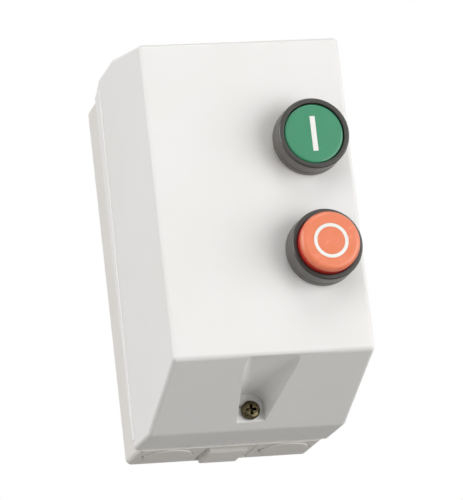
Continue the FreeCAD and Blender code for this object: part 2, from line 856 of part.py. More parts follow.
def base_housing():
    shell = base_shell()
    gains = [shell]
    gains.append(block(
        "bottom_pad", around("0", "pad_width / 2"), ("0", "pad_length"),
        ("base_bottom - pad_drop", "base_bottom + base_wall / 2"),
    ))
    gains.append(rod(
        "insert_boss", "boss_radius", ("base_floor / 2", TONGUE_FRONT), "0", "screw_height",
    ))
    gains.append(block(
        "insert_rib", around("0", "base_wall / 2"), ("base_floor / 2", "%s - 1" % TRAY_DEPTH),
        ("base_bottom + base_wall / 2", "screw_height"),
    ))
    gains.append(rod(
        "earth_boss", "earth_plate_half", ("base_floor / 2", "base_floor + earth_post"),
        "earth_x", "earth_z",
    ))
    losses = knockout_tools("bottom", "base_bottom", "+") + knockout_tools("top", "base_top", "-")
    for side, sign in SIDES:
        middle = mirrored(sign, "nose_place")
        gains.append(block(
            "cradle_" + side, around(middle, "nose_width / 2 + cradle_side"),
            ("hinge_depth - nose_radius - cradle_wall", "hinge_depth - 0.3"),
            ("base_top - base_wall / 2", "hinge_height + nose_radius - 0.2"),
        ))
        gains.append(block(
            "cradle_lip_" + side, around(middle, "nose_width / 2 + cradle_side"),
            ("hinge_depth - nose_radius", "hinge_depth + cradle_lip"),
            ("base_top - base_wall / 2", "hinge_height - nose_radius"),
        ))
        losses.append(cross_rod(
            "cradle_bore_" + side, "nose_radius + cradle_clearance",
            around(middle, "nose_width / 2 + cradle_side + 1"), "hinge_depth", "hinge_height",
        ))
        for level in ("upper", "lower"):
            losses.append(rod(
                "wall_hole_%s_%s" % (level, side), "wall_hole_radius", ("-1", "base_floor + 1"),
                mirrored(sign, "base_width / 2 - wall_hole_inset"), "wall_hole_" + level,
            ))
    losses.append(rod(
        "insert_seat", "insert_radius",
        ("hinge_depth - insert_length / 2", "hinge_depth + insert_length / 2"),
        "0", "screw_height",
    ))
    losses.append(rod(
        "insert_way", "screw_shank + insert_way_room", ("screw_tip_depth - insert_way_back", "%s + 1" % TONGUE_FRONT),
        "0", "screw_height",
    ))
    losses.append(rod(
        "earth_hole", "terminal_screw_shank + 0.4", ("base_floor", "base_floor + earth_post + 1"),
        "earth_x", "earth_z",
    ))
    for side in ("left", "right"):
        losses.append(rod(
            "rail_hole_" + side, "terminal_screw_shank", ("0.6", "base_floor + 1"),
            "rail_screw_" + side, "rail_z",
        ))
    node("base_housing", cut("base_cut", join("base_whole", *gains), *losses))
    low = "hinge_depth - insert_length / 2"
    high = "hinge_depth + insert_length / 2"
    bore = "screw_shank + insert_clearance"
    node("threaded_insert", turned("insert_turned", "0", "screw_height", [
        (bore, low), ("insert_radius", low), ("insert_radius", high), (bore, high),
    ]))


def earth_terminal():
    seat = "base_floor + earth_post"
    plate = block(
        "earth_blank", around("earth_x", "earth_plate_half"),
        (seat, "%s + earth_plate_thick" % seat), around("earth_z", "earth_plate_half"),
    )
    hole = rod(
        "earth_plate_hole", "terminal_screw_shank + 0.05", (seat, "%s + 5" % seat),
        "earth_x", "earth_z",
    )
    node("earth_plate", cut("earth_plate_cut", plate, hole))
    node("earth_screw", pan_screw(
        "earth_screw_piece", "earth_x", "earth_z", "%s + earth_plate_thick" % seat,
        "earth_screw_head", "terminal_screw_height", "terminal_screw_shank",
        "earth_post + earth_plate_thick - 0.5",
    ))


# ---------------------------------------------------------------- cover

def cover_shell():
    body = new_body("cover_shell")
    side = new_sketch(body, "cover_side", "YZ_Plane")
    polygon(side, [
        ("-face_depth", "face_bottom"),
        ("-slant_depth", "cover_bottom"),
        ("-rim_depth", "cover_bottom"),
        ("-rim_depth", "rim_top"),
        ("-shoulder_depth", "shoulder_top"),
        ("-crest_depth", "crest_top"),
        ("-face_depth", "face_top"),
    ])
    solid = pad(body, "cover_block", side, "cover_width", both_ways=True)
    doc.recompute()
    rim = -value("rim_depth")
    faces = [
        "Face%d" % i for i, f in enumerate(solid.Shape.Faces, start=1)
        if f.BoundBox.YLength < 0.01 and abs(f.BoundBox.YMin - rim) < 0.01
    ]
    shell = body.newObject("PartDesign::Thickness", "cover_hollow")
    shell.Base = (solid, faces)
    shell.Mode = "Skin"
    shell.Join = "Intersection"
    shell.Reversed = True
    bind(shell, "Value", "cover_wall")
    half = value("cover_width") / 2
    round_edges(
        body, "cover_edges", "cover_round",
        lambda b: outer_edge(b, half, rim),
    )
    for name, sign in SIDES:
        start = COVER_HALF if sign > 0 else "-(cover_width / 2 + band_proud)"
        band = new_sketch(body, "band_" + name, "YZ_Plane", start)
        polygon(band, [
            ("-rim_depth", "cover_bottom + 2 * cover_round"),
            ("-rim_depth", "rim_top - cover_round"),
            ("-band_top_depth", "rim_top - cover_round"),
            ("-band_bottom_depth", "cover_bottom + 2 * cover_round"),
        ])
        pad(body, "band_pad_" + name, band, "band_proud")
    return body


def outer_edge(box, half, rim):
    """True for the cover's outside corner edges, but not those of its open back."""
    on_side = abs(abs(box.Center.x) - half) < 0.01 and box.XLength < 0.01
    along_x = box.XLength > 2 * half - 0.1
    in_front = box.YMin < rim - 1
    return in_front and (on_side or along_x)


def funnel_tool():
    """The tapered well over the cover screw, with its two upper edges rounded."""
    body = new_body("funnel")
    back = new_sketch(body, "funnel_back", "XZ_Plane", "screw_floor")
    rectangle(
        back, around("0", "funnel_half_back"), ("cover_bottom - 20", "funnel_top_back"),
    )
    front = new_sketch(body, "funnel_front", "XZ_Plane", "face_depth")
    rectangle(
        front, around("0", "funnel_half_front"), ("cover_bottom - 20", "funnel_top_front"),
    )
    loft = body.newObject("PartDesign::AdditiveLoft", "funnel_loft")
    loft.Profile = back
    loft.Sections = [front]
    loft.Ruled = True
    doc.recompute()
    upper = [
        i for i, e in enumerate(body.Shape.Edges, start=1)
        if e.BoundBox.YLength > 10 and e.BoundBox.ZMin > value("funnel_top_back") - 1
    ]
    rounded = doc.addObject("Part::Fillet", "funnel_rounded")
    rounded.Base = body
    edges = body.Shape.Edges
    radii = []
    for i in upper:
        near_back = edges[i - 1].Vertexes[0].Point.y > edges[i - 1].Vertexes[1].Point.y
        pair = (value("funnel_round_back"), value("funnel_round_front"))
        radii.append((i,) + (pair if near_back else pair[::-1]))
    rounded.Edges = radii
    return rounded


def front_cover():
    gains = [cover_shell()]
    ledge = block(
        "ledge_plate", around("0", "%s + cover_wall / 2" % COVER_INSIDE),
        (GASKET_FRONT, "%s + ledge_thick" % GASKET_FRONT),
        ("cover_bottom + cover_wall / 2", "shoulder_top - cover_wall / 2"),
    )
    ledge_hole = block(
        "ledge_hole", around("0", "%s - gasket_width" % TONGUE_HALF),
        (GASKET_FRONT, "%s + ledge_thick" % GASKET_FRONT),
        ("%s + gasket_width" % TONGUE_LOW, "%s - gasket_width" % TONGUE_TOP),
    )
    gains.append(cut("gasket_ledge", ledge, ledge_hole))
    gains.append(rod(
        "screw_column", "column_radius", ("%s + column_gap" % TONGUE_FRONT, "screw_floor"),
        "0", "screw_height",
    ))
    wall_half = "funnel_half_back + cover_wall"
    well = new_body("funnel_wall")
    back = new_sketch(well, "well_back", "XZ_Plane", "screw_floor - cover_wall")
    rectangle(
        back, around("0", wall_half),
        ("cover_bottom + cover_wall / 2", "funnel_top_back + cover_wall"),
    )
    front = new_sketch(well, "well_front", "XZ_Plane", "face_depth - cover_wall / 2")
    rectangle(
        front, around("0", "funnel_half_front + cover_wall"),
        ("cover_bottom + cover_wall / 2", "face_bottom + cover_wall"),
    )
    loft = well.newObject("PartDesign::AdditiveLoft", "well_loft")
    loft.Profile = back
    loft.Sections = [front]
    loft.Ruled = True
    gains.append(doc.addObject("Part::Common", "funnel_skin"))
    gains[-1].Base = well
    gains[-1].Tool = cover_outline()
    for side, sign in SIDES:
        middle = mirrored(sign, "nose_place")
        gains.append(cross_rod(
            "nose_" + side, "nose_radius", around(middle, "nose_width / 2"),
            "hinge_depth", "hinge_height",
        ))
        gains.append(block(
            "nose_neck_" + side, around(middle, "nose_width / 2"),
            ("hinge_depth", "hinge_depth + nose_neck"),
            ("rim_top - 0.4", "hinge_height + nose_radius / 2"),
        ))
    losses = [funnel_tool()]
    for name in ("start", "stop"):
        losses.append(rod(
            name + "_hole", "neck_radius + hole_clearance",
            ("%s - 1" % PANEL_BACK, "face_depth + 1"), "button_x", name + "_z",
        ))
    losses.append(rod(
        "screw_way", "screw_shank + 0.4", (TRAY_DEPTH, "screw_floor + 1"), "0", "screw_height",
    ))
    node("front_cover", cut("cover_cut", join("cover_whole", *gains), *losses))


def cover_outline():
    """The cover's outside as one block, which trims what stands inside it."""
    body = new_body("cover_trim")
    side = new_sketch(body, "trim_side", "YZ_Plane")
    polygon(side, [
        ("-(face_depth - cover_wall / 2)", "face_bottom + cover_wall / 3"),
        ("-slant_depth", "cover_bottom + cover_wall / 2"),
        ("-rim_depth", "cover_bottom + cover_wall / 2"),
        ("-rim_depth", "0"),
        ("-(face_depth - cover_wall / 2)", "0"),
    ])
    pad(body, "trim_block", side, "cover_width - cover_wall", both_ways=True)
    return body


def cover_gasket():
    outer = block(
        "gasket_outer", around("0", "%s + tongue_clearance - 0.1" % TONGUE_HALF),
        (GASKET_BACK, GASKET_FRONT),
        ("%s - tongue_clearance + 0.1" % TONGUE_LOW, "%s + tongue_clearance - 0.1" % TONGUE_TOP),
    )
    inner = block(
        "gasket_inner", around("0", "%s + tongue_clearance - 0.1 - gasket_width" % TONGUE_HALF),
        (GASKET_BACK, GASKET_FRONT),
        (
            "%s - tongue_clearance + 0.1 + gasket_width" % TONGUE_LOW,
            "%s + tongue_clearance - 0.1 - gasket_width" % TONGUE_TOP,
        ),
    )
    way = rod(
        "gasket_way", "column_radius + 0.1", (GASKET_BACK, GASKET_FRONT), "0", "screw_height",
    )
    node("cover_gasket", cut("gasket_cut", outer, inner, way))


def cover_screw():
    seat = "screw_floor + screw_seal_thick"
    blank = pan_screw(
        "cover_screw", "0", "screw_height", seat, "screw_head_radius", "screw_head_thick",
        "screw_shank", "%s - screw_tip_depth" % seat, slot=False,
    )
    crown = "%s + screw_head_thick" % seat
    wings = [
        block(
            "driver_flat", around("0", "screw_head_radius * 0.52"),
            ("%s - 1.6" % crown, "%s + 1" % crown), around("screw_height", "slot_width / 2"),
        ),
        block(
            "driver_tall", around("0", "slot_width / 2"),
            ("%s - 1.6" % crown, "%s + 1" % crown), around("screw_height", "screw_head_radius * 0.52"),
        ),
    ]
    node("cover_screw", cut("cover_screw_cut", blank, *wings))
    node("screw_seal", turned("seal_turned", "0", "screw_height", [
        ("screw_shank + 0.05", "screw_floor"),
        ("screw_head_radius - 0.3", "screw_floor"),
        ("screw_head_radius - 0.3", seat),
        ("screw_shank + 0.05", seat),
    ]))


# ---------------------------------------------------------------- push-buttons

def bezel(name):
    """A collar that clamps the panel, with a threaded neck through it."""
    x, z = "button_x", name + "_z"
    well = "cap_back - press_travel - 0.3"
    node(name + "_bezel", turned(name + "_bezel_turned", x, z, [
        ("stem_bore", "neck_end_depth"),
        ("neck_radius", "neck_end_depth"),
        ("neck_radius", BEZEL_BACK),
        ("bezel_radius", BEZEL_BACK),
        ("bezel_radius", "%s + bezel_step_height" % BEZEL_BACK),
        ("bezel_radius - bezel_step", "%s + bezel_step_height + bezel_step" % BEZEL_BACK),
        ("bezel_radius - bezel_step", "%s - bezel_chamfer" % BEZEL_FRONT),
        ("bezel_radius - bezel_step - bezel_chamfer", BEZEL_FRONT),
        ("cap_radius + cap_clearance", BEZEL_FRONT),
        ("cap_radius + cap_clearance", well),
        ("neck_bore", well),
        ("neck_bore", "neck_end_depth + neck_lip"),
        ("stem_bore", "neck_end_depth + neck_lip"),
    ]))
    node(name + "_seal", turned(name + "_seal_turned", x, z, [
        ("neck_radius + 0.05", "face_depth"),
        ("seal_radius", "face_depth"),
        ("seal_radius", BEZEL_BACK),
        ("neck_radius + 0.05", BEZEL_BACK),
    ]))
    ring = rod(
        name + "_nut_blank", "nut_radius", ("%s - nut_thick" % PANEL_BACK, PANEL_BACK), x, z,
    )
    bore = rod(
        name + "_nut_bore", "neck_radius + 0.05",
        ("%s - nut_thick" % PANEL_BACK, PANEL_BACK), x, z,
    )
    notches = []
    for i in range(6):
        notch = block(
            "%s_nut_notch_%d" % (name, i), ("nut_radius - 1.2", "nut_radius + 1"),
            ("%s - nut_thick" % PANEL_BACK, PANEL_BACK), ("-2", "2"),
        )
        spin = doc.addObject("Part::Compound", "%s_nut_spin_%d" % (name, i))
        spin.Links = [notch]
        spin.Placement.Rotation = FreeCAD.Rotation(FreeCAD.Vector(0, 1, 0), 60.0 * i)
        place(spin, x, "0", z)
        notches.append(spin)
    node(name + "_lock_nut", cut(name + "_nut_cut", ring, bore, *notches))


def button_cap(name, face, rounding):
    """The coloured cap, with a pocket in its face for the inlaid mark."""
    x, z = "button_x", name + "_z"
    body = turned(name + "_cap_turned", x, z, [
        ("0", "cap_back"), ("cap_radius", "cap_back"), ("cap_radius", face), ("0", face),
    ])
    front = value(BEZEL_FRONT)
    front += value("stop_proud") if name == "stop" else -value("cap_recess")
    round_edges(
        body, name + "_cap_round", rounding,
        lambda b: flat_circle(b) and b.XLength > 5 and abs(b.YMin + front) < 0.01,
    )
    return body


def start_mark(name, grow):
    return block(
        name, around("button_x", "start_mark_width / 2"),
        ("%s - mark_thick" % START_FACE, "%s + %s" % (START_FACE, grow)),
        around("start_z", "start_mark_length / 2"),
    )


def stop_mark(name, grow):
    span = ("%s - mark_thick" % STOP_FACE, "%s + %s" % (STOP_FACE, grow))
    disc = rod(name + "_disc", "stop_mark_radius", span, "button_x", "stop_z")
    eye = rod(name + "_eye", "stop_mark_radius - stop_mark_line", span, "button_x", "stop_z")
    return cut(name, disc, eye)


def plunger(name, stem, tip):
    """The guide that slides in the neck, and the stem that reaches inwards."""
    shoulder = "cap_back - guide_length"
    node(name, turned(name + "_turned", "button_x", name.split("_")[0] + "_z", [
        ("0", tip), (stem, tip), (stem, shoulder),
        ("neck_bore - guide_clearance", shoulder),
        ("neck_bore - guide_clearance", "cap_back"),
        ("0", "cap_back"),
    ]))


def button_spring(name):
    node(name + "_spring", coil_spring(
        name + "_spring_coil", "button_spring_radius", "button_spring_wire / 2",
        "button_spring_turns",
        ("neck_end_depth + neck_lip", "cap_back - guide_length"), "button_x", name + "_z",
    ))


def push_buttons():
    bezel("start")
    cap = button_cap("start", START_FACE, "cap_round")
    node("start_cap", cut("start_cap_cut", cap, start_mark("start_mark_pocket", "1")))
    node("start_mark", start_mark("start_mark_bar", "0"))
    plunger("start_plunger", "start_stem", "block_plunger_front + push_gap")
    button_spring("start")
    bezel("stop")
    cap = button_cap("stop", STOP_FACE, "stop_round")
    node("stop_cap", cut("stop_cap_cut", cap, stop_mark("stop_mark_pocket", "1")))
    node("stop_mark", stop_mark("stop_mark_ring", "0"))
    plunger("stop_rod", "stop_stem", "relay_stop_front + push_gap")
    button_spring("stop")


# ---------------------------------------------------------------- mounting rail

def mounting_rail():
    span = ("rail_left", "rail_right")
    pieces = [block(
        "rail_web", span, ("base_floor", "base_floor + rail_thick"),
        around("rail_z", "rail_channel"),
    )]
    for level, low, high in (("low", "-rail_channel", "-(rail_channel - rail_thick)"),
                             ("high", "rail_channel - rail_thick", "rail_channel")):
        pieces.append(block(
            "rail_leg_" + level, span, ("base_floor", RAIL_FRONT),
            ("rail_z + (%s)" % low, "rail_z + (%s)" % high),
        ))
    for level, low, high in (("low", "-rail_half", "-(rail_channel - rail_thick)"),
                             ("high", "rail_channel - rail_thick", "rail_half")):
        pieces.append(block(
            "rail_lip_" + level, span, ("%s - rail_thick" % RAIL_FRONT, RAIL_FRONT),
            ("rail_z + (%s)" % low, "rail_z + (%s)" % high),
        ))
    holes = [
        rod(
            "rail_clear_" + side, "terminal_screw_shank + 0.05",
            ("base_floor - 1", "base_floor + rail_thick + 1"), "rail_screw_" + side, "rail_z",
        )
        for side in ("left", "right")
    ]
    node("mounting_rail", cut("rail_cut", join("rail_whole", *pieces), *holes))
    screws = [
        pan_screw(
            "rail_screw_" + side + "_piece", "rail_screw_" + side, "rail_z",
            "base_floor + rail_thick", "rail_screw_radius", "rail_screw_head",
            "terminal_screw_shank - 0.05", "base_floor + rail_thick - 0.8",
        )
        for side in ("left", "right")
    ]
    node("rail_screws", group("rail_screw_group", *screws))


# ---------------------------------------------------------------- contactor

def contactor_base():
    outer = block(
        "unit_outer", around("unit_x", "unit_half"), ("unit_back", "split_depth"),
        around("rail_z", "unit_half_height"),
    )
    room = block(
        "unit_room", around("unit_x", "unit_half - unit_wall - unit_ledge"),
        ("unit_back + unit_wall", "split_depth + 1"), around("rail_z", "magnet_half + 2"),
    )
    hooks = [
        block(
            "top_hook_leg", around("unit_x", "unit_half - hook_side"), ("hook_back", "unit_back + 1"),
            ("rail_z + rail_half + hook_gap", "rail_z + rail_half + hook_thick"),
        ),
        block(
            "top_hook_lip", around("unit_x", "unit_half - hook_side"),
            ("hook_back", "%s - rail_thick - hook_gap" % RAIL_FRONT),
            ("rail_z + rail_half - hook_reach", "rail_z + rail_half + hook_thick"),
        ),
    ]
    for side, low, high in (
        ("left", "-(clip_half + clip_gap + clip_guide)", "-(clip_half + clip_gap)"),
        ("right", "clip_half + clip_gap", "clip_half + clip_gap + clip_guide"),
    ):
        hooks.append(block(
            "clip_guide_" + side, ("unit_x + (%s)" % low, "unit_x + (%s)" % high),
            ("hook_back", "unit_back + 1"),
            ("rail_z - rail_half - clip_guide_length", "rail_z - rail_half - hook_gap"),
        ))
    recesses = []
    for end, sign in (("top", 1), ("bottom", -1)):
        low, high = ("unit_half_height - unit_step", "unit_half_height + 1")
        span = ("rail_z + %s" % low, "rail_z + %s" % high)
        if sign < 0:
            span = ("rail_z - (%s)" % high, "rail_z - (%s)" % low)
        recesses.append(block(
            "unit_step_" + end, around("unit_x", "unit_half + 1"), ("unit_back - 1", "unit_step_depth"), span,
        ))
    hooks.append(block(
        "coil_ledge", ("unit_x - unit_half - coil_ledge_width", "unit_x - unit_half + 1"),
        ("coil_ledge_back", "coil_ledge_front"), ("coil_ledge_low", "coil_ledge_high"),
    ))
    hooks.append(block(
        "coil_barrier", ("unit_x - unit_half - coil_ledge_width", "unit_x - unit_half + 1"),
        ("coil_ledge_front - 1", "coil_ledge_front + coil_barrier_front"),
        around("(coil_tab_lower + coil_tab_upper) / 2", "coil_barrier / 2"),
    ))
    coil_slots = []
    for level in ("lower", "upper"):
        coil_slots.append(block(
            "coil_slot_" + level, COIL_TAB_SPAN,
            ("coil_ledge_front", "coil_ledge_front + strip_thick"),
            around("coil_tab_" + level, "coil_tab_half + 0.05"),
        ))
        coil_slots.append(rod(
            "coil_thread_" + level, "terminal_screw_shank + 0.3",
            ("coil_ledge_front - thread_length", "coil_ledge_front + 1"), "coil_tab_x",
            "coil_tab_" + level,
        ))
    node("contactor_base", cut(
        "contactor_base_cut", join("contactor_base_whole", outer, *hooks),
        room, *recesses, *coil_slots
    ))
    ear = block(
        "clip_plate", around("unit_x", "clip_half"),
        ("hook_back", "%s - rail_thick - hook_gap" % RAIL_FRONT),
        ("rail_z - rail_half - clip_tail", "rail_z - rail_half + hook_reach"),
    )
    eye = block(
        "clip_eye", around("unit_x", "clip_half / 2"), ("hook_back - 1", "unit_back"),
        ("rail_z - rail_half - clip_eye_low", "rail_z - rail_half - clip_eye_high"),
    )
    node("rail_clip", cut("clip_cut", ear, eye))


def magnet():
    """The fixed core, the coil on its middle leg and the moving armature."""
    yoke_front = "core_back + core_yoke"
    core = [block(
        "core_yoke_bar", around("unit_x", "core_half_x"), ("core_back", yoke_front),
        around("rail_z", "core_half_z"),
    )]
    plate = [block(
        "armature_yoke_bar", around("unit_x", "core_half_x"),
        ("armature_yoke_back", ARMATURE_FRONT), around("rail_z", "core_half_z"),
    )]
    legs = (
        ("low", "rail_z - core_half_z", "rail_z - core_half_z + leg_outer"),
        ("middle", "rail_z - leg_centre", "rail_z + leg_centre"),
        ("high", "rail_z + core_half_z - leg_outer", "rail_z + core_half_z"),
    )
    for level, low, high in legs:
        core.append(block(
            "core_leg_" + level, around("unit_x", "core_half_x"),
            (yoke_front, "core_front"), (low, high),
        ))
        plate.append(block(
            "armature_leg_" + level, around("unit_x", "core_half_x"),
            (ARMATURE_BACK, "armature_yoke_back"), (low, high),
        ))
    node("fixed_core", join("core_whole", *core))
    node("armature", join("armature_whole", *plate))

    bore_x = "core_half_x + bobbin_clearance"
    bore_z = "leg_centre + bobbin_clearance"
    back = "(core_back + core_yoke + core_seat)"
    front = "(core_front + bobbin_flange)"
    spool = [
        block(
            "bobbin_tube", around("unit_x", "%s + bobbin_wall" % bore_x), (back, front),
            around("rail_z", "%s + bobbin_wall" % bore_z),
        ),
        block(
            "bobbin_back", around("unit_x", "bobbin_half"), (back, "%s + bobbin_flange" % back),
            around("rail_z", "bobbin_half"),
        ),
        block(
            "bobbin_front", around("unit_x", "bobbin_half"),
            ("%s - bobbin_flange" % front, front), around("rail_z", "bobbin_half"),
        ),
    ]
    bore = block(
        "bobbin_bore", around("unit_x", bore_x), ("%s - 1" % back, "%s + 1" % front),
        around("rail_z", bore_z),
    )
    node("coil_bobbin", cut("bobbin_cut", join("bobbin_whole", *spool), bore))
    turns = new_body("winding_block")
    ring = new_sketch(turns, "winding_outline", "XZ_Plane", "%s + bobbin_flange" % back)
    rectangle(ring, around("unit_x", "winding_half"), around("rail_z", "winding_half"))
    pad(turns, "winding_pad", ring, "%s - %s - 2 * bobbin_flange" % (front, back))
    round_edges(turns, "winding_corners", "winding_round", lambda b: b.YLength > value("core_yoke"))
    hollow = block(
        "winding_hollow", around("unit_x", "%s + bobbin_wall" % bore_x), (back, front),
        around("rail_z", "%s + bobbin_wall" % bore_z),
    )
    winding = cut("winding_cut", turns, hollow)
    leads = []
    tabs = []
    for level in ("lower", "upper"):
        z = "coil_tab_" + level
        plate = block(
            "coil_tab_plate_" + level, COIL_TAB_SPAN,
            ("coil_ledge_front", "coil_ledge_front + strip_thick"), around(z, "coil_tab_half"),
        )
        hole = rod(
            "coil_tab_hole_" + level, "terminal_screw_shank + 0.05",
            ("coil_ledge_front - 1", "coil_ledge_front + 3"), "coil_tab_x", z,
        )
        tabs.append(cut("coil_tab_cut_" + level, plate, hole))
        tabs.append(pan_screw(
            "coil_tab_screw_" + level, "coil_tab_x", z,
            "coil_ledge_front + strip_thick + lead_room", "terminal_screw_head",
            "terminal_screw_height", "terminal_screw_shank", "terminal_screw_length",
        ))
        x = "unit_x - unit_half + unit_wall + 3.6"
        leads.append(wire("coil_lead_" + level, "coil_lead", [
            (x, "coil_ledge_front - 0.1", z),
            (x, "coil_ledge_front - 9", z),
            ("unit_x - winding_half + 4", "coil_ledge_front - 9",
             "rail_z + winding_half + coil_lead + 0.05"),
        ]))
    node("coil_winding", group("winding_group", winding, *leads))
    node("coil_terminals", group("coil_tab_group", *tabs))
    node("return_spring", coil_spring(
        "return_spring_coil", "return_spring_radius", "return_spring_wire / 2",
        "return_spring_turns", (front, "armature_yoke_back"), "unit_x", "rail_z",
    ))


def contactor_body():
    lower = block(
        "deck_block", around("unit_x", "unit_half"), ("split_depth", "terminal_front"),
        around("rail_z", "unit_half_height"),
    )
    magnet_room = block(
        "deck_room", around("unit_x", "unit_half - unit_wall"),
        ("split_depth - 1", "deck_back"), around("rail_z", "magnet_half"),
    )
    shaft = block(
        "deck_shaft", around("unit_x", "unit_half - unit_wall"),
        ("split_depth - 1", "terminal_front + 1"), around("rail_z", "carrier_half + shaft_side"),
    )
    channels = []
    for i, x in enumerate(POLES):
        channels.append(block(
            "pole_channel_%d" % i, around(x, "strip_half + channel_side"),
            ("deck_depth", "terminal_front + 1"), around("rail_z", "unit_half_height + 1"),
        ))
        for end, sign in (("line", "+"), ("load", "-")):
            channels.append(rod(
                "pole_thread_%s_%d" % (end, i), "terminal_screw_shank + 0.3",
                ("deck_depth - thread_length", "deck_depth + 1"), x, "rail_z %s clamp_place" % sign,
            ))
    node("contactor_body", cut(
        "contactor_body_cut", lower, magnet_room, shaft, *channels
    ))

    front = block(
        "front_block", around("unit_x", "unit_half"), ("terminal_front", "front_depth"),
        around("rail_z", "front_half_height"),
    )
    hollow = block(
        "front_hollow", around("unit_x", "unit_half - unit_wall"),
        ("terminal_front - 1", "front_depth - front_skin"), around("rail_z", "front_half_height - 2"),
    )
    view = block(
        "front_view", around("unit_x - flag_offset", "indicator_half + flag_room"),
        ("front_depth - 5", "front_depth + 1"), around("rail_z", "carrier_half + 0.4"),
    )
    node("contactor_front", cut("contactor_front_cut", front, hollow, view))


def contacts():
    """Four poles: fixed strips, silver tips, a sprung bridge and clamp screws."""
    strips = {"line": [], "load": []}
    plates = []
    screws = []
    for i, x in enumerate(POLES):
        for end, sign in (("line", "+"), ("load", "-")):
            low, high = "strip_inner", "strip_outer"
            span = ("rail_z + %s" % low, "rail_z + %s" % high)
            if sign == "-":
                span = ("rail_z - %s" % high, "rail_z - %s" % low)
            seat = "rail_z %s clamp_place" % sign
            bar = block(
                "strip_bar_%s_%d" % (end, i), around(x, "strip_half"),
                ("deck_depth", STRIP_FRONT), span,
            )
            tip = rod(
                "strip_tip_%s_%d" % (end, i), "tip_radius",
                (STRIP_FRONT, TIP_FRONT), x, "rail_z %s tip_place" % sign,
            )
            hole = rod(
                "strip_hole_%s_%d" % (end, i), "terminal_screw_shank + 0.05",
                ("deck_depth - 1", "%s + 1" % STRIP_FRONT), x, seat,
            )
            whole = join("strip_whole_%s_%d" % (end, i), bar, tip)
            strips[end].append(cut("strip_%s_%d" % (end, i), whole, hole))
            held = LEAD_POLES.get((end, i), "0")
            under = "(%s + %s)" % (STRIP_FRONT, held)
            plate = block(
                "clamp_%s_%d" % (end, i), around(x, "clamp_half"),
                (under, "%s + clamp_thick" % under), around(seat, "clamp_half"),
            )
            way = rod(
                "clamp_hole_%s_%d" % (end, i), "terminal_screw_shank + 0.05",
                (under, "%s + 3" % under), x, seat,
            )
            plates.append(cut("clamp_plate_%s_%d" % (end, i), plate, way))
            screws.append(pan_screw(
                "clamp_screw_%s_%d" % (end, i), x, seat, "%s + clamp_thick" % under,
                "terminal_screw_head", "terminal_screw_height", "terminal_screw_shank",
                "terminal_screw_length",
            ))
    node("line_contacts", group("line_group", *strips["line"]))
    node("load_contacts", group("load_group", *strips["load"]))
    node("clamp_plates", group("plate_group", *plates))
    node("clamp_screws", group("screw_group", *screws))

    bridges = []
    springs = []
    for i, x in enumerate(POLES):
        bar = block(
            "bridge_bar_%d" % i, around(x, "bridge_half_x"), (BRIDGE_BACK, BRIDGE_FRONT),
            around("rail_z", "bridge_half"),
        )
        tips = [
            rod(
                "bridge_tip_%s_%d" % (word, i), "tip_radius",
                (BRIDGE_TIP_BACK, BRIDGE_BACK), x, "rail_z %s tip_place" % sign,
            )
            for word, sign in (("low", "-"), ("high", "+"))
        ]
        bridges.append(join("bridge_%d" % i, bar, *tips))
        springs.append(coil_spring(
            "bridge_spring_%d" % i, "bridge_spring_radius", "bridge_spring_wire / 2",
            "bridge_spring_turns", (BRIDGE_FRONT, "window_front"), x, "rail_z",
        ))
    node("contact_bridges", group("bridge_group", *bridges))
    node("bridge_springs", group("bridge_spring_group", *springs))

    slab = block(
        "carrier_slab", around("unit_x", "unit_half - unit_wall - carrier_side"),
        ("%s" % ARMATURE_FRONT, "carrier_front"), around("rail_z", "carrier_half"),
    )
    flag = block(
        "carrier_flag", around("unit_x - flag_offset", "indicator_half"),
        ("carrier_front", "indicator_front"), around("rail_z", "carrier_half"),
    )
    windows = [
        block(
            "carrier_window_%d" % i, around(x, "window_half"), (BRIDGE_BACK, "window_front"),
            around("rail_z", "carrier_half + 1"),
        )
        for i, x in enumerate(POLES)
    ]
    node("contact_carrier", cut("carrier_cut", join("carrier_whole", slab, flag), *windows))


# ---------------------------------------------------------------- overload relay

RELAY_X = around("unit_x", "unit_half")
RELAY_INNER = around("unit_x", "unit_half - relay_wall")


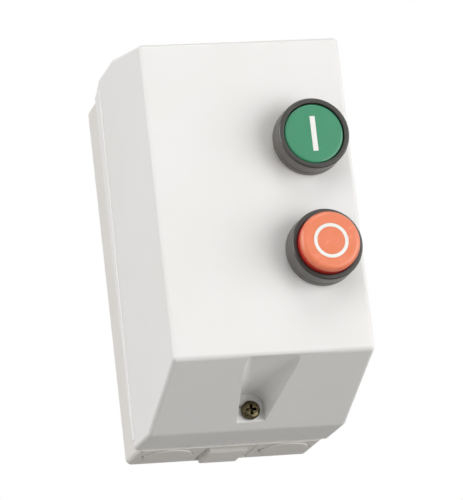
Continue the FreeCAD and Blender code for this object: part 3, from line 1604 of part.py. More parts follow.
def relay_body():
    upper = block(
        "relay_case", RELAY_X, ("relay_back", "relay_front"),
        ("relay_shelf", "relay_top"),
    )
    lower = block(
        "relay_skirt", RELAY_X, ("relay_back", "relay_shelf_front"),
        ("relay_bottom", "relay_shelf"),
    )
    arm = block(
        "relay_arm", around("unit_x", "unit_half - relay_arm_side"),
        ("relay_back + relay_arm_inset", "prong_back - relay_arm_inset"),
        ("relay_top", "%s - 0.2" % UNIT_LOW),
    )
    room = block(
        "relay_room", RELAY_INNER, ("relay_back + relay_wall", "relay_front + 1"),
        ("relay_shelf + relay_wall", "relay_top - relay_wall"),
    )
    cuts = [room]
    for i, x in enumerate(RELAY_POLES):
        cuts.append(block(
            "relay_prong_way_%d" % i, around(x, "prong_half + 0.05"),
            ("deck_depth + strip_thick - 0.05", "deck_depth + strip_thick + prong_thick + 0.05"),
            ("relay_top - relay_wall - 1", "relay_top + 1"),
        ))
    for i, x in enumerate(POLES):
        cuts.append(block(
            "relay_output_way_%d" % i, around(x, "strip_half + 0.8"),
            ("relay_shelf_front - output_step", "relay_shelf_front + 1"),
            ("relay_bottom - 1", "relay_shelf - 1"),
        ))
        cuts.append(block(
            "relay_link_way_%d" % i, around(x, "bimetal_half + 0.1"),
            ("relay_shelf_front - output_step", "relay_shelf_front - output_step + strip_thick"),
            ("relay_shelf - 2", "relay_shelf + relay_wall + 1"),
        ))
    seat = block(
        "relay_seat_wall", ("relay_seat_left", "unit_x + unit_half - relay_wall / 2"),
        ("relay_seat - relay_seat_thick", "relay_seat"),
        ("relay_shelf + relay_wall / 2", "relay_top - relay_wall / 2"),
    )
    case = cut("relay_body_cut", join("relay_whole", upper, lower, arm), *cuts)
    guides = []
    for i, x in enumerate(TRIP_PINS):
        post = rod(
            "trip_post_%d" % i, "trip_boss", ("relay_back + relay_wall / 2", "trip_boss_front"),
            x, "trip_z",
        )
        bore = rod(
            "trip_bore_%d" % i, "trip_pin + guide_clearance",
            ("trip_pin_back - trip_bore_room", "trip_boss_front + 1"), x, "trip_z",
        )
        guides.append(cut("trip_guide_%d" % i, post, bore))
    node("relay_body", join("relay_body_whole", case, seat, *guides))


def relay_inside():
    """Prongs, heaters on bimetal strips, the trip bar and the output clamps."""
    prongs, strips, heaters, outputs, screws = [], [], [], [], []
    strip_depth = "relay_shelf_front - output_step"
    for i, x in enumerate(RELAY_POLES):
        prongs.append(join(
            "prong_%d" % i,
            block(
                "prong_pin_%d" % i, around(x, "prong_half"),
                (STRIP_FRONT, "%s + prong_thick" % STRIP_FRONT),
                (
                    "relay_top - relay_wall - prong_foot",
                    "rail_z - clamp_place - terminal_screw_shank - 0.1",
                ),
            ),
            block(
                "prong_drop_%d" % i, around(x, "prong_half"),
                ("prong_back", "%s + prong_thick" % STRIP_FRONT),
                (
                    "relay_top - relay_wall - prong_foot",
                    "relay_top - relay_wall - prong_foot + prong_foot_thick",
                ),
            ),
        ))
        strips.append(block(
            "bimetal_%d" % i, around(x, "bimetal_half"),
            ("prong_back", "prong_back + bimetal_thick"),
            (
                "relay_top - relay_wall - prong_foot - bimetal_length",
                "relay_top - relay_wall - prong_foot",
            ),
        ))
        sleeve = block(
            "heater_outer_%d" % i, around(x, "heater_half"),
            ("prong_back - heater_wall", "prong_back + bimetal_thick + heater_wall"),
            (
                "relay_top - relay_wall - prong_foot - bimetal_length + heater_end_gap",
                "relay_top - relay_wall - prong_foot - heater_top_gap",
            ),
        )
        gap = block(
            "heater_inner_%d" % i, around(x, "bimetal_half"),
            ("prong_back", "prong_back + bimetal_thick"),
            ("relay_bottom", "relay_top"),
        )
        heaters.append(cut("heater_%d" % i, sleeve, gap))
    for i, x in enumerate(POLES):
        clamp_z = "(relay_bottom + output_clamp_rise)"
        lead = "lead_room" if i == 3 else "0"
        bar = block(
            "output_bar_%d" % i, around(x, "bimetal_half"),
            (strip_depth, "%s + strip_thick" % strip_depth),
            ("relay_bottom + output_bar_rise", "relay_shelf + relay_wall + output_bar_top"),
        )
        hole = rod(
            "output_hole_%d" % i, "terminal_screw_shank + 0.05",
            ("%s - 1" % strip_depth, "relay_shelf_front"), x, clamp_z,
        )
        outputs.append(cut("output_%d" % i, bar, hole))
        screws.append(pan_screw(
            "output_screw_%d" % i, x, clamp_z, "%s + strip_thick + %s" % (strip_depth, lead),
            "terminal_screw_head", "terminal_screw_height", "terminal_screw_shank",
            "strip_thick + %s" % lead,
        ))
    node("relay_prongs", group("prong_group", *prongs))
    node("bimetal_strips", group("bimetal_group", *strips))
    node("heater_sleeves", group("heater_group", *heaters))
    node("output_strips", group("output_group", *outputs))
    node("output_screws", group("output_screw_group", *screws))
    beam = "(prong_back + bimetal_thick + trip_beam_gap)"
    bar = block(
        "trip_beam", ("unit_x - unit_half + trip_beam_left", "unit_x + unit_half - trip_beam_right"),
        (beam, "%s + trip_beam_thick" % beam),
        around("trip_z", "trip_beam_half"),
    )
    pins = [
        rod(
            "trip_pin_%d" % i, "trip_pin",
            ("trip_pin_back", "%s + trip_beam_thick / 2" % beam), x, "trip_z",
        )
        for i, x in enumerate(TRIP_PINS)
    ]
    node("trip_bar", join("trip_bar_whole", bar, *pins))


def relay_cover():
    plate = block(
        "relay_front_plate", RELAY_X, ("relay_front", "relay_cover_front"),
        ("relay_shelf", "relay_top"),
    )
    ways = [
        rod(
            "relay_dial_way", "dial_radius + 0.1", ("relay_front - 1", "relay_cover_front + 1"),
            "dial_x", "dial_z",
        ),
        rod(
            "relay_stop_way", "relay_stop_radius + 0.1",
            ("relay_front - 1", "relay_cover_front + 1"), "button_x", "stop_z",
        ),
        block(
            "relay_reset_way", around("button_x", "reset_half + 0.1"),
            ("relay_front - 1", "relay_cover_front + 1"),
            around("reset_z", "reset_half + 0.1"),
        ),
    ]
    lugs = []
    for word, z in (("high", "flap_top"), ("low", "flap_bottom")):
        edge = ("flap_top + lug_gap", "flap_top + lug_gap + lug_thick") if word == "high" else (
            "flap_bottom - lug_gap - lug_thick", "flap_bottom - lug_gap")
        lugs.append(block(
            "flap_lug_" + word, ("flap_left - lug_before", "flap_left + lug_after"),
            ("relay_cover_front - lug_sunk", "relay_cover_front + lug_proud"), edge,
        ))
        ways.append(upright_rod(
            "flap_lug_hole_" + word, "flap_pin + 0.05", edge, "flap_left + flap_pin_inset",
            "relay_cover_front + flap_axis_step",
        ))
    node("relay_cover", cut("relay_cover_cut", join("relay_cover_whole", plate, *lugs), *ways))

    dial = turned("dial_turned", "dial_x", "dial_z", [
        ("0", "relay_front - dial_back"),
        ("dial_radius - dial_flange", "relay_front - dial_back"),
        ("dial_radius - dial_flange", "relay_front - dial_flange"),
        ("dial_radius", "relay_front - dial_flange"),
        ("dial_radius", "relay_cover_front"),
        ("0", "relay_cover_front"),
    ])
    slot = block(
        "dial_slot", around("dial_x", "dial_radius - dial_flange"),
        ("relay_cover_front - dial_slot_deep", "relay_cover_front + 1"), around("dial_z", "slot_width / 2"),
    )
    node("current_dial", cut("dial_cut", dial, slot))
    node("reset_button", join(
        "reset_whole",
        block(
            "reset_head", around("button_x", "reset_half"),
            ("relay_front - foot_front", "relay_cover_front + reset_proud"), around("reset_z", "reset_half"),
        ),
        block(
            "reset_foot", around("button_x", "reset_half + foot_flange"),
            ("relay_front - foot_back", "relay_front - foot_front"), around("reset_z", "reset_half + foot_flange"),
        ),
    ))
    node("relay_stop", turned("relay_stop_turned", "button_x", "stop_z", [
        ("0", "relay_front - foot_back"),
        ("relay_stop_radius + foot_flange", "relay_front - foot_back"),
        ("relay_stop_radius + foot_flange", "relay_front - foot_front"),
        ("relay_stop_radius", "relay_front - foot_front"),
        ("relay_stop_radius", "relay_stop_front"),
        ("0", "relay_stop_front"),
    ]))
    for name, z in (("reset_spring", "reset_z"), ("relay_stop_spring", "stop_z")):
        node(name, coil_spring(
            name + "_coil", "relay_spring_radius", "relay_spring_wire / 2",
            "relay_spring_turns", ("relay_seat", "relay_front - foot_back"), "button_x", z,
        ))
    sheet_piece = block(
        "flap_sheet", ("flap_left + flap_pin_inset", "flap_right"),
        ("relay_cover_front + flap_step", "relay_cover_front + flap_step + flap_thick"),
        ("flap_bottom", "flap_top"),
    )
    pin = upright_rod(
        "flap_pin_rod", "flap_pin", ("flap_bottom - flap_pin_proud", "flap_top + flap_pin_proud"), "flap_left + flap_pin_inset",
        "relay_cover_front + flap_axis_step",
    )
    node("dial_flap", join("flap_whole", sheet_piece, pin))


# ---------------------------------------------------------------- start contact

def start_block():
    x = around("button_x", "block_half")
    z = around("start_z", "block_half_height")
    case = block("block_case", x, ("block_back", "block_front"), z)
    room = block(
        "block_room", around("button_x", "block_half - block_wall"),
        ("block_back + block_wall", "block_front - block_wall"),
        around("start_z", "block_room_half"),
    )
    way = rod(
        "block_way", "block_plunger + 0.1", ("block_front - 3", "block_front + 1"),
        "button_x", "start_z",
    )
    cuts = [room, way]
    strips, screws = [], []
    for word, sign in (("low", "-"), ("high", "+")):
        screw_z = "(start_z %s block_screw_place)" % sign
        well = ("start_z + block_screw_place - block_screw_well", "start_z + block_half_height + 1")
        if sign == "-":
            well = ("start_z - block_half_height - 1", "start_z - block_screw_place + block_screw_well")
        cuts.append(block(
            "block_well_" + word, around("button_x", "block_well_half"),
            ("block_strip_depth", "block_front + 1"), well,
        ))
        low, high = "block_strip_near", "block_half_height - block_strip_end"
        span = ("start_z + %s" % low, "start_z + %s" % high)
        if sign == "-":
            span = ("start_z - (%s)" % high, "start_z - (%s)" % low)
        cuts.append(block(
            "block_strip_way_" + word, around("button_x", "strip_half"),
            ("block_strip_depth", "block_strip_depth + strip_thick"), span,
        ))
        bar = block(
            "block_bar_" + word, around("button_x", "strip_half"),
            ("block_strip_depth", "block_strip_depth + strip_thick"), span,
        )
        hole = rod(
            "block_bar_hole_" + word, "terminal_screw_shank + 0.05",
            ("block_strip_depth - 1", "block_strip_depth + 3"), "button_x", screw_z,
        )
        strips.append(cut("block_strip_" + word, bar, hole))
        screws.append(pan_screw(
            "block_screw_" + word, "button_x", screw_z,
            "block_strip_depth + strip_thick + lead_room",
            "terminal_screw_head", "terminal_screw_height", "terminal_screw_shank",
            "strip_thick + lead_room",
        ))
    node("start_block", cut("block_cut", case, *cuts))
    node("start_block_terminals", group("block_terminal_group", *strips, *screws))
    bridge_back = "block_strip_depth + strip_thick + press_travel + 0.1"
    post = turned("block_post", "button_x", "start_z", [
        ("0", bridge_back),
        ("block_plunger", bridge_back),
        ("block_plunger", "block_plunger_front"),
        ("0", "block_plunger_front"),
    ])
    bridge = block(
        "block_bridge", around("button_x", "strip_half - block_bridge_side"),
        (bridge_back, "%s + strip_thick" % bridge_back), around("start_z", "block_bridge_half"),
    )
    node("start_block_plunger", join("block_plunger_whole", post, bridge))
    node("start_block_spring", coil_spring(
        "block_spring_coil", "block_spring_radius", "block_spring_wire / 2",
        "block_spring_turns", ("block_back + block_wall", bridge_back), "button_x", "start_z",
    ))


# ---------------------------------------------------------------- wires

def control_wires():
    """Leads between the terminals, each ending beside a screw under its head."""
    strip = "(%s + lead_room / 2)" % STRIP_FRONT
    coil = "(coil_ledge_front + strip_thick + lead_room / 2)"
    switch = "(block_strip_depth + strip_thick + lead_room / 2)"
    relay = "(relay_shelf_front - output_step + strip_thick + lead_room / 2)"
    aux = POLES[3]
    line_end = "rail_z + clamp_place - 2"
    tab_end = "coil_tab_x + 1.5"
    inner_left = "wire_left + 3.4"
    node("control_wires", group(
        "wire_group",
        wire("line_jumper", "wire_radius", [
            (POLES[0] + " - lead_offset", strip, line_end),
            (POLES[0] + " - lead_offset", strip, "wire_top"),
            (aux + " - lead_offset", strip, "wire_top"),
            (aux + " - lead_offset", strip, line_end),
        ]),
        wire("switch_to_line", "wire_radius", [
            ("button_x + lead_offset", switch, "start_z + block_screw_place - 1.6"),
            ("button_x + lead_offset", switch, "wire_top"),
            (aux + " + lead_offset", strip, "wire_top"),
            (aux + " + lead_offset", strip, line_end),
        ]),
        wire("switch_to_load", "wire_radius", [
            ("button_x + lead_offset", switch, "start_z - block_screw_place + 1.6"),
            ("button_x + lead_offset", switch, "%s + 2.5" % UNIT_LOW),
            (aux + " + lead_offset", strip, "%s + 2.5" % UNIT_LOW),
            (aux + " + lead_offset", strip, "rail_z - clamp_place + 2"),
        ]),
        wire("switch_to_coil", "wire_radius", [
            ("button_x - lead_offset", switch, "start_z - block_screw_place + 1.6"),
            ("button_x - lead_offset", switch, "wire_front"),
            (inner_left, switch, "wire_front"),
            (inner_left, coil, "wire_front"),
            (inner_left, coil, "coil_tab_lower - lead_offset"),
            (tab_end, coil, "coil_tab_lower - lead_offset"),
        ]),
        wire("coil_to_relay", "wire_radius", [
            (tab_end, coil, "coil_tab_upper + lead_offset"),
            ("wire_left", coil, "coil_tab_upper + lead_offset"),
            ("wire_left", relay, "wire_bottom"),
            (aux + " - lead_offset", relay, "wire_bottom"),
            (aux + " - lead_offset", relay, "relay_bottom + 6.5"),
        ]),
    ))


def report():
    doc.recompute()
    bad = [o.Name for o in doc.Objects if "Invalid" in o.State or "Error" in o.State]
    if bad:
        raise RuntimeError("objects that failed: %s" % ", ".join(bad))
    for piece in NODES:
        if piece.Shape.isNull() or not piece.Shape.isValid():
            raise RuntimeError("%s has no valid shape" % piece.Label)
        print("%-22s solids %2d volume %9.1f" % (
            piece.Label, len(piece.Shape.Solids), piece.Shape.Volume))


base_housing()
earth_terminal()
front_cover()
cover_gasket()
cover_screw()
push_buttons()
mounting_rail()
contactor_base()
magnet()
contactor_body()
contacts()
relay_body()
relay_inside()
relay_cover()
start_block()
control_wires()
report()

os.makedirs("parts", exist_ok=True)
for piece in NODES:
    piece.Shape.exportStep("parts/%s.step" % piece.Label)
print("%d sub-parts" % len(NODES))
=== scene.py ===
# %% [markdown]
# # A push-button motor starter
# A plastic box that hangs on a wall, with a green and a red button on its cover and
# a contactor and an overload relay inside. The CAD model gives every size and place.
# This lesson builds the shapes that are seen, finishes them, and lights them.

# %% Load the frame
import json
import math
import bpy
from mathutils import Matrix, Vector

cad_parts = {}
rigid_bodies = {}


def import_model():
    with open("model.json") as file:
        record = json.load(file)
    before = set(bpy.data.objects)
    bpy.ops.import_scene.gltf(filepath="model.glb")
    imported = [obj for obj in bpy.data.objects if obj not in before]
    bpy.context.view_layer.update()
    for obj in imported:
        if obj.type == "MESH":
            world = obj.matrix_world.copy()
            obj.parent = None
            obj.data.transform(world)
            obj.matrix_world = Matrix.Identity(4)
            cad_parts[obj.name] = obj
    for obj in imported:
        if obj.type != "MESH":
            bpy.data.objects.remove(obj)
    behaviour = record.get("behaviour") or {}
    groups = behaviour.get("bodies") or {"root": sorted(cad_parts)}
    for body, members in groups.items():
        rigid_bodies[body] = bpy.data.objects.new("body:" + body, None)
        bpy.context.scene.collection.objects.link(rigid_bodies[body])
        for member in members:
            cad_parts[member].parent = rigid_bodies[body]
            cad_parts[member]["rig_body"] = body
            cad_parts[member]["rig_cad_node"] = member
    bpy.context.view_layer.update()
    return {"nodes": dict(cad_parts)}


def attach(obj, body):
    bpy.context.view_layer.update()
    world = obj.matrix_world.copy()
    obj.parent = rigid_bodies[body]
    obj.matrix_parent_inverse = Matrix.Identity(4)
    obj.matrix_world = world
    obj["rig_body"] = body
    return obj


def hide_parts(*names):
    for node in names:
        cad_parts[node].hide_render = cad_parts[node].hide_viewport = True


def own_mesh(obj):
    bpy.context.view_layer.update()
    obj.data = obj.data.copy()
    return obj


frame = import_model()
print("CAD nodes:", len(frame["nodes"]))

# %% [markdown]
# The starter is drawn in millimetres, as a toolmaker would: across, out from the
# wall, and up. Blender works in metres, and its y axis runs into the wall. One short
# function turns the one into the other, so no size has to be converted by hand.

# %% Millimetres
MM = 0.001
# how far right of the middle and how high: the two buttons, the cover screw, and the
# contactor with its four poles
BUTTON_ACROSS, START_UP, STOP_UP = 24.1, 28.5, -18.3
SCREW_UP = -72.9
UNIT_ACROSS, UNIT_UP, POLE_STEP = 8.0, 28.0, 10.2


def at(across, depth, up):
    """A point given in millimetres: to the right, out from the wall, and up."""
    return Vector((across, -depth, up)) * MM


print("start button", [round(v, 4) for v in at(BUTTON_ACROSS, 0, START_UP)], "m")

# %% [markdown]
# The starter is seen from below and from its left, from a good distance, so upright
# edges stay nearly parallel. A long lens far away gives that; a short lens close by
# would spread the bottom corners.

# %% The camera
def camera(place, forward, up, lens):
    """A camera at a place, turned to look forward with up at the top of its frame."""
    eye = bpy.data.cameras.new("camera")
    eye.lens = lens
    eye.sensor_width = 36
    holder = bpy.data.objects.new("camera", eye)
    bpy.context.scene.collection.objects.link(holder)
    back = -Vector(forward).normalized()
    right = Vector(up).cross(back).normalized()
    top = back.cross(right)
    turn = holder.matrix_world.to_3x3()
    for row in range(3):
        turn[row] = (right[row], top[row], back[row])
    holder.matrix_world = turn.to_4x4()
    holder.location = place
    bpy.context.scene.camera = holder
    return holder


eye = camera((-0.48316, -1.79989, -0.43532), (0.26037, 0.93714, 0.23231),
             (0.04850, -0.25300, 0.96625), 320.4)
print("camera", round(eye.location.length, 3), "m away")

# %% [markdown]
# Pale plastic needs big soft lamps: a small hard one makes black shadows and burnt
# patches. Wide squares share the work, so each shadow is only a faint one. The right
# one is the strongest on the face, and its shadows fall to the left of the buttons.
# The left one grazes the side and puts a thin bright line on its front edge. The top
# one fills in, a faint one near the floor picks out the edges of the underside, and
# one behind lights the back for whoever looks at it there. That one makes no
# highlights, because its mirror image would bleach the left side.

# %% The lamps
def lamp(name, place, size, power):
    """A square lamp that points at the starter."""
    light = bpy.data.lights.new(name, "AREA")
    light.shape = "SQUARE"
    light.size = size
    light.energy = power
    holder = bpy.data.objects.new(name, light)
    bpy.context.scene.collection.objects.link(holder)
    holder.location = place
    holder.rotation_euler = (-Vector(place)).to_track_quat("-Z", "Y").to_euler()
    return holder


lamp("right_lamp", (1.8, -1.7, -0.5), 2.6, 69)
lamp("left_lamp", (-1.95, -0.85, 0.6), 1.6, 30)
lamp("top_lamp", (0.2, -1.5, 1.9), 1.4, 15)
lamp("floor_lamp", (-1.7, -0.6, -0.75), 0.7, 3)
lamp("back_lamp", (0, 2.6, 0.3), 2.4, 24).visible_glossy = False

# %% [markdown]
# The backdrop is plain white. Only what the camera sees directly, or in a mirror or
# through glass, takes that white; the object is lit by a dimmer and slightly warmer
# sky, so it doesn't burn out.

# %% Backdrop
SKY = 0.10


def add(tree, kind, inputs=None, **settings):
    """Add a node with its settings. An input is a value, another node's output, or a
    whole node, which stands for the first output that is in use."""
    made = tree.nodes.new("ShaderNode" + kind)
    for name, value in settings.items():
        setattr(made, name, value)
    for name, value in (inputs or {}).items():
        if isinstance(value, bpy.types.Node):
            value = next(output for output in value.outputs if output.enabled)
        if isinstance(value, bpy.types.NodeSocket):
            tree.links.new(value, made.inputs[name])
        else:
            made.inputs[name].default_value = value
    return made


def linear(code):
    """An sRGB hex colour such as #F1EFEA, as the linear numbers that shaders use."""
    parts = [int(code[i:i + 2], 16) / 255 for i in (1, 3, 5)]
    return [c / 12.92 if c <= 0.04045 else ((c + 0.055) / 1.055) ** 2.4 for c in parts] + [1]


world = bpy.data.worlds.new("white_backdrop")
bpy.context.scene.world = world
world.use_nodes = True
sky = world.node_tree
sky.nodes.clear()
path = add(sky, "LightPath")
seen = add(sky, "Math", {0: path.outputs["Is Camera Ray"], 1: path.outputs["Is Glossy Ray"]},
           operation="MAXIMUM")
seen = add(sky, "Math", {0: seen, 1: path.outputs["Is Transmission Ray"]},
           operation="MAXIMUM")
level = add(sky, "MapRange", {"Value": seen, "To Min": SKY})
tint = add(sky, "Mix", {0: seen, 6: linear("#FFF8EE"), 7: linear("#FFFFFF")},
           data_type="RGBA")
add(sky, "OutputWorld", {"Surface": add(sky, "Background", {"Color": tint,
                                                            "Strength": level})})

bpy.context.scene.view_settings.view_transform = "Standard"
print("sky strength", SKY)

# %% [markdown]
# Everything is modelled as it would be by hand: add a simple shape, go into edit mode,
# pick some faces or edges, and push, inset or bevel them. A script has no mouse, so
# it picks by place: pick() keeps only what a small test accepts.

# %% Tools for picking and shaping
def alone(obj):
    """Make one object the only one selected, and the one worked on."""
    if bpy.context.object and bpy.context.object.mode != "OBJECT":
        bpy.ops.object.mode_set(mode="OBJECT")
    bpy.ops.object.select_all(action="DESELECT")
    obj.select_set(True)
    bpy.context.view_layer.objects.active = obj
    return obj


def edit(on=True):
    """Go into edit mode, or out of it."""
    bpy.ops.object.mode_set(mode="EDIT" if on else "OBJECT")


def pick(kind, wanted):
    """In edit mode, select only the corners, edges or faces that wanted() accepts.

    A corner is its place, an edge its two ends, and a face its middle and its normal,
    all in millimetres: across, out from the wall, up."""
    bpy.ops.mesh.select_mode(type=kind)
    bpy.ops.mesh.select_all(action="DESELECT")
    edit(False)
    mesh = bpy.context.object.data
    spots = [Vector((v.co.x, -v.co.y, v.co.z)) / MM for v in mesh.vertices]
    if kind == "VERT":
        for corner, spot in zip(mesh.vertices, spots):
            corner.select = bool(wanted(spot))
    elif kind == "EDGE":
        for edge in mesh.edges:
            edge.select = bool(wanted(*[spots[i] for i in edge.vertices]))
    else:
        for face in mesh.polygons:
            middle = Vector((face.center.x, -face.center.y, face.center.z)) / MM
            normal = Vector((face.normal.x, -face.normal.y, face.normal.z))
            face.select = bool(wanted(middle, normal))
    edit()


def settle(obj, name):
    """Bring the object's turn and place into its mesh, so that it sits at the origin."""
    alone(obj)
    bpy.ops.object.transform_apply(location=True, rotation=True, scale=True)
    obj.name = obj.data.name = name
    return obj


def block(name, across, depth, up):
    """A cube pulled out to a block between two places each way."""
    middle = at(sum(across) / 2, sum(depth) / 2, sum(up) / 2)
    bpy.ops.mesh.primitive_cube_add(size=1, location=middle)
    cube = bpy.context.object
    cube.scale = [abs(b - a) * MM for a, b in (across, depth, up)]
    return settle(cube, name)


def rod(name, radius, depth, across, up, sides=48, axis="depth"):
    """A cylinder that points out from the wall, or up or across."""
    long = abs(depth[1] - depth[0]) * MM
    middle = sum(depth) / 2
    turn = {"depth": (math.pi / 2, 0, 0), "up": (0, 0, 0), "across": (0, math.pi / 2, 0)}[axis]
    spot = {"depth": at(across, middle, up), "up": at(across, up, middle),
            "across": at(middle, across, up)}[axis]
    bpy.ops.mesh.primitive_cylinder_add(
        vertices=sides, radius=radius * MM, depth=long, location=spot, rotation=turn)
    return settle(bpy.context.object, name)


def modify(obj, kind, **settings):
    """Add a modifier with its settings and apply it."""
    alone(obj)
    change = obj.modifiers.new(kind.lower(), kind)
    for name, value in settings.items():
        setattr(change, name, value)
    bpy.ops.object.modifier_apply(modifier=change.name)
    return obj


def combine(obj, *others, how="UNION"):
    """Add other solids to this one, or cut them out of it, and remove them."""
    for other in others:
        modify(obj, "BOOLEAN", operation=how, solver="EXACT", object=other)
        bpy.data.objects.remove(other)
    return obj


def weld(gap=0.004):
    """In edit mode, merge all corners that are closer than the gap."""
    bpy.ops.mesh.select_all(action="SELECT")
    bpy.ops.mesh.remove_doubles(threshold=gap * MM)


def face_outwards():
    """Turn every face outwards, and leave edit mode."""
    bpy.ops.mesh.select_all(action="SELECT")
    bpy.ops.mesh.normals_make_consistent(inside=False)
    edit(False)


def close_ends():
    """In edit mode, fill every open ring, turn every face outwards, and leave."""
    bpy.ops.mesh.select_all(action="DESELECT")
    bpy.ops.mesh.select_non_manifold()
    bpy.ops.mesh.fill_holes(sides=0)
    face_outwards()


def tidy(obj):
    """Merge doubled corners and join faces that lie in one plane."""
    alone(obj)
    edit()
    bpy.ops.mesh.select_mode(type="VERT")
    weld()
    bpy.ops.mesh.dissolve_limited(angle_limit=math.radians(0.3))
    edit(False)
    return obj


def soften(obj, width, segments=2, angle=40):
    """Round every edge that is sharper than the angle, as a mould does, and shade it."""
    modify(obj, "BEVEL", width=width * MM, segments=segments, limit_method="ANGLE",
           angle_limit=math.radians(angle), miter_outer="MITER_ARC", use_clamp_overlap=True)
    return shade(obj)


def shade(obj, angle=35):
    """Shade smooth across soft edges and let the large flat faces stay flat."""
    alone(obj)
    bpy.ops.object.shade_smooth_by_angle(angle=math.radians(angle))
    return modify(obj, "WEIGHTED_NORMAL", keep_sharp=True, weight=100)


pieces = []


def keep(obj, body, slot, *nodes):
    """The finished piece gets its finish, rides on its body and stands for its nodes."""
    obj.data.materials.clear()
    obj.data.materials.append(finishes[slot])
    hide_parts(*nodes)
    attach(obj, body)
    pieces.append(obj)
    return obj


print("a millimetre is", MM, "m")

# %% [markdown]
# The floor is a plain pale sheet, 1.25 m below the starter, as under one on a wall. It
# is wide, so that its far edge is never in view. It is a stage prop, not part of the
# starter.

# %% The floor
bpy.ops.object.select_all(action="DESELECT")
bpy.ops.mesh.primitive_plane_add(size=40, location=(0, 0, -1.25))
floor = settle(bpy.context.object, "floor")
print("floor", [round(v, 2) for v in floor.dimensions])

# %% [markdown]
# ## Finishes
# A finish starts from what the real material is and how its surface was made. Every
# pattern reads Object coordinates. Those are metres, so a pattern whose cells are so
# many millimetres wide has a scale of one divided by that width. A noise rarely leaves
# the range from 0.3 to 0.7, so Map Range stretches that part of it.

# %% Starting and closing a finish
NOISE = {"From Min": 0.3, "From Max": 0.7}


def new_finish(name):
    """A new material: itself, its node tree, and the place on the object."""
    made = bpy.data.materials.new(name)
    made.use_nodes = True
    made.node_tree.nodes.clear()
    return made, made.node_tree, add(made.node_tree, "TexCoord").outputs["Object"]


def close_finish(tree, look):
    """The shader with its inputs, and the output."""
    add(tree, "OutputMaterial", {"Surface": add(tree, "BsdfPrincipled", look)})


def drifting(name, pale, deep, rough, vary, patch, grain, height, details, look):
    """A finish whose tone drifts from pale to deep in patches, and whose gloss and
    relief follow a finer grain. Patch, grain and height are millimetres."""
    made, tree, place = new_finish(name)
    cloud = add(tree, "TexNoise", {"Vector": place, "Scale": 1 / (patch * MM),
                                   "Detail": details[0]})
    marks = add(tree, "TexNoise", {"Vector": place, "Scale": 1 / (grain * MM),
                                   "Detail": details[1]})
    drift = add(tree, "MapRange", {"Value": cloud, **NOISE})
    tone = add(tree, "Mix", {0: drift, 6: linear(pale), 7: linear(deep)}, data_type="RGBA")
    gloss = add(tree, "MapRange", {"Value": marks, **NOISE, "To Min": rough - vary,
                                   "To Max": rough + vary})
    bumps = add(tree, "Bump", {"Height": marks, "Distance": height * MM})
    close_finish(tree, {"Base Color": tone, "Roughness": gloss, "Normal": bumps, **look})
    return made


print("a noise is stretched from", NOISE)

# %% [markdown]
# Moulded plastic copies its steel mould. A sparked mould prints a fine even grain that
# spreads the light, a polished one leaves the plastic glossy. The melt also leaves a
# broad, faint drift in tone and gloss, which the eye reads as plastic and not paint.
# The real grain is about 0.1 mm, too fine to show, so it is drawn at 0.4 mm.

# %% Moulded plastics
MELT_DRIFT = 30


def moulded(name, pale, deep, rough, grain=0.4, height=0.004, extra=None):
    """pale and deep are the two ends of the plastic's drift in tone."""
    return drifting(name, pale, deep, rough, 0.05, MELT_DRIFT, grain, height, (2, 3),
                    {"IOR": 1.53, **(extra or {})})


finishes = {
    # pale grey ABS from a sparked mould: soft sheen, even tone
    "cover": moulded("abs_pale_grey_sparked", "#F1F0EF", "#EFEEEC", 0.40),
    # the tray is a second moulding in a slightly darker batch
    "housing": moulded("abs_light_grey_sparked", "#EDEAE6", "#E9E6E1", 0.50),
    # glass-filled nylon: dull, with the fibres' mottle at the surface
    "nut": moulded("nylon_black_filled", "#2B2B2C", "#242425", 0.42, 0.5, 0.006),
    # the green cap comes from a polished mould: nearly flat, with a clear sheen
    "green_cap": moulded("polycarbonate_green_polished", "#41956F", "#3C906A", 0.17, 1.5,
                         0.001),
    # the inlays are acetal, which polishes to a dense, slightly waxy white
    "mark": moulded("acetal_white_inlay", "#F8F8F5", "#F2F2EE", 0.30, 0.6, 0.002),
    # natural acetal slides without oil; it is milky, and light goes a little way in
    "push_rod": moulded("acetal_natural_turned", "#EDEAE2", "#E4E0D6", 0.34, 0.6, 0.003,
                        {"Subsurface Weight": 0.12, "Subsurface Scale": 0.6 * MM}),
    # the devices' nylon holds glass fibre, so it is dull and a little rough
    "device_grey": moulded("nylon_charcoal_device", "#4A4D50", "#424548", 0.48, 0.5, 0.008),
    "device_light": moulded("nylon_white_device", "#DFDDD6", "#D8D5CD", 0.44, 0.5, 0.006),
    # unfilled nylon yellows in the coil's warmth
    "bobbin": moulded("nylon_natural_cream", "#DDD2B4", "#D2C6A6", 0.40, 0.6, 0.006),
    # sliding bars are amber acetal, smooth enough to run dry
    "trip": moulded("acetal_amber", "#D2973F", "#C68A33", 0.32, 0.6, 0.003),
    # phenolic resin is pressed hot, and keeps a faint sheen on black
    "carrier": moulded("phenolic_black_pressed", "#292829", "#1F1E1F", 0.38, 0.6, 0.008),
    "dial": moulded("nylon_white_dial", "#EFEEEA", "#E8E7E2", 0.36, 0.6, 0.004),
    # small buttons are glossy acetal, coloured all through
    "blue": moulded("acetal_blue", "#2C62B0", "#2759A3", 0.28, 0.8, 0.003),
    "relay_red": moulded("acetal_red", "#CE3B2B", "#C23325", 0.28, 0.8, 0.003),
}
print("plastics", len(finishes))

# %% [markdown]
# The red cap is slightly see-through plastic, coloured all the way through. Its tone
# follows the depth in the cap: the front face is painted pale orange, as lit, and the
# side deep red, as in shade. Its polished mould was turned, which leaves faint rings
# round the middle of the face, drawn 6.28 mm apart.

# %% The red cap
WAVE = 0.314  # metres between the lines of a wave texture whose scale is 1
CAP_SIDE, CAP_FACE = -121.5 * MM, -125.6 * MM

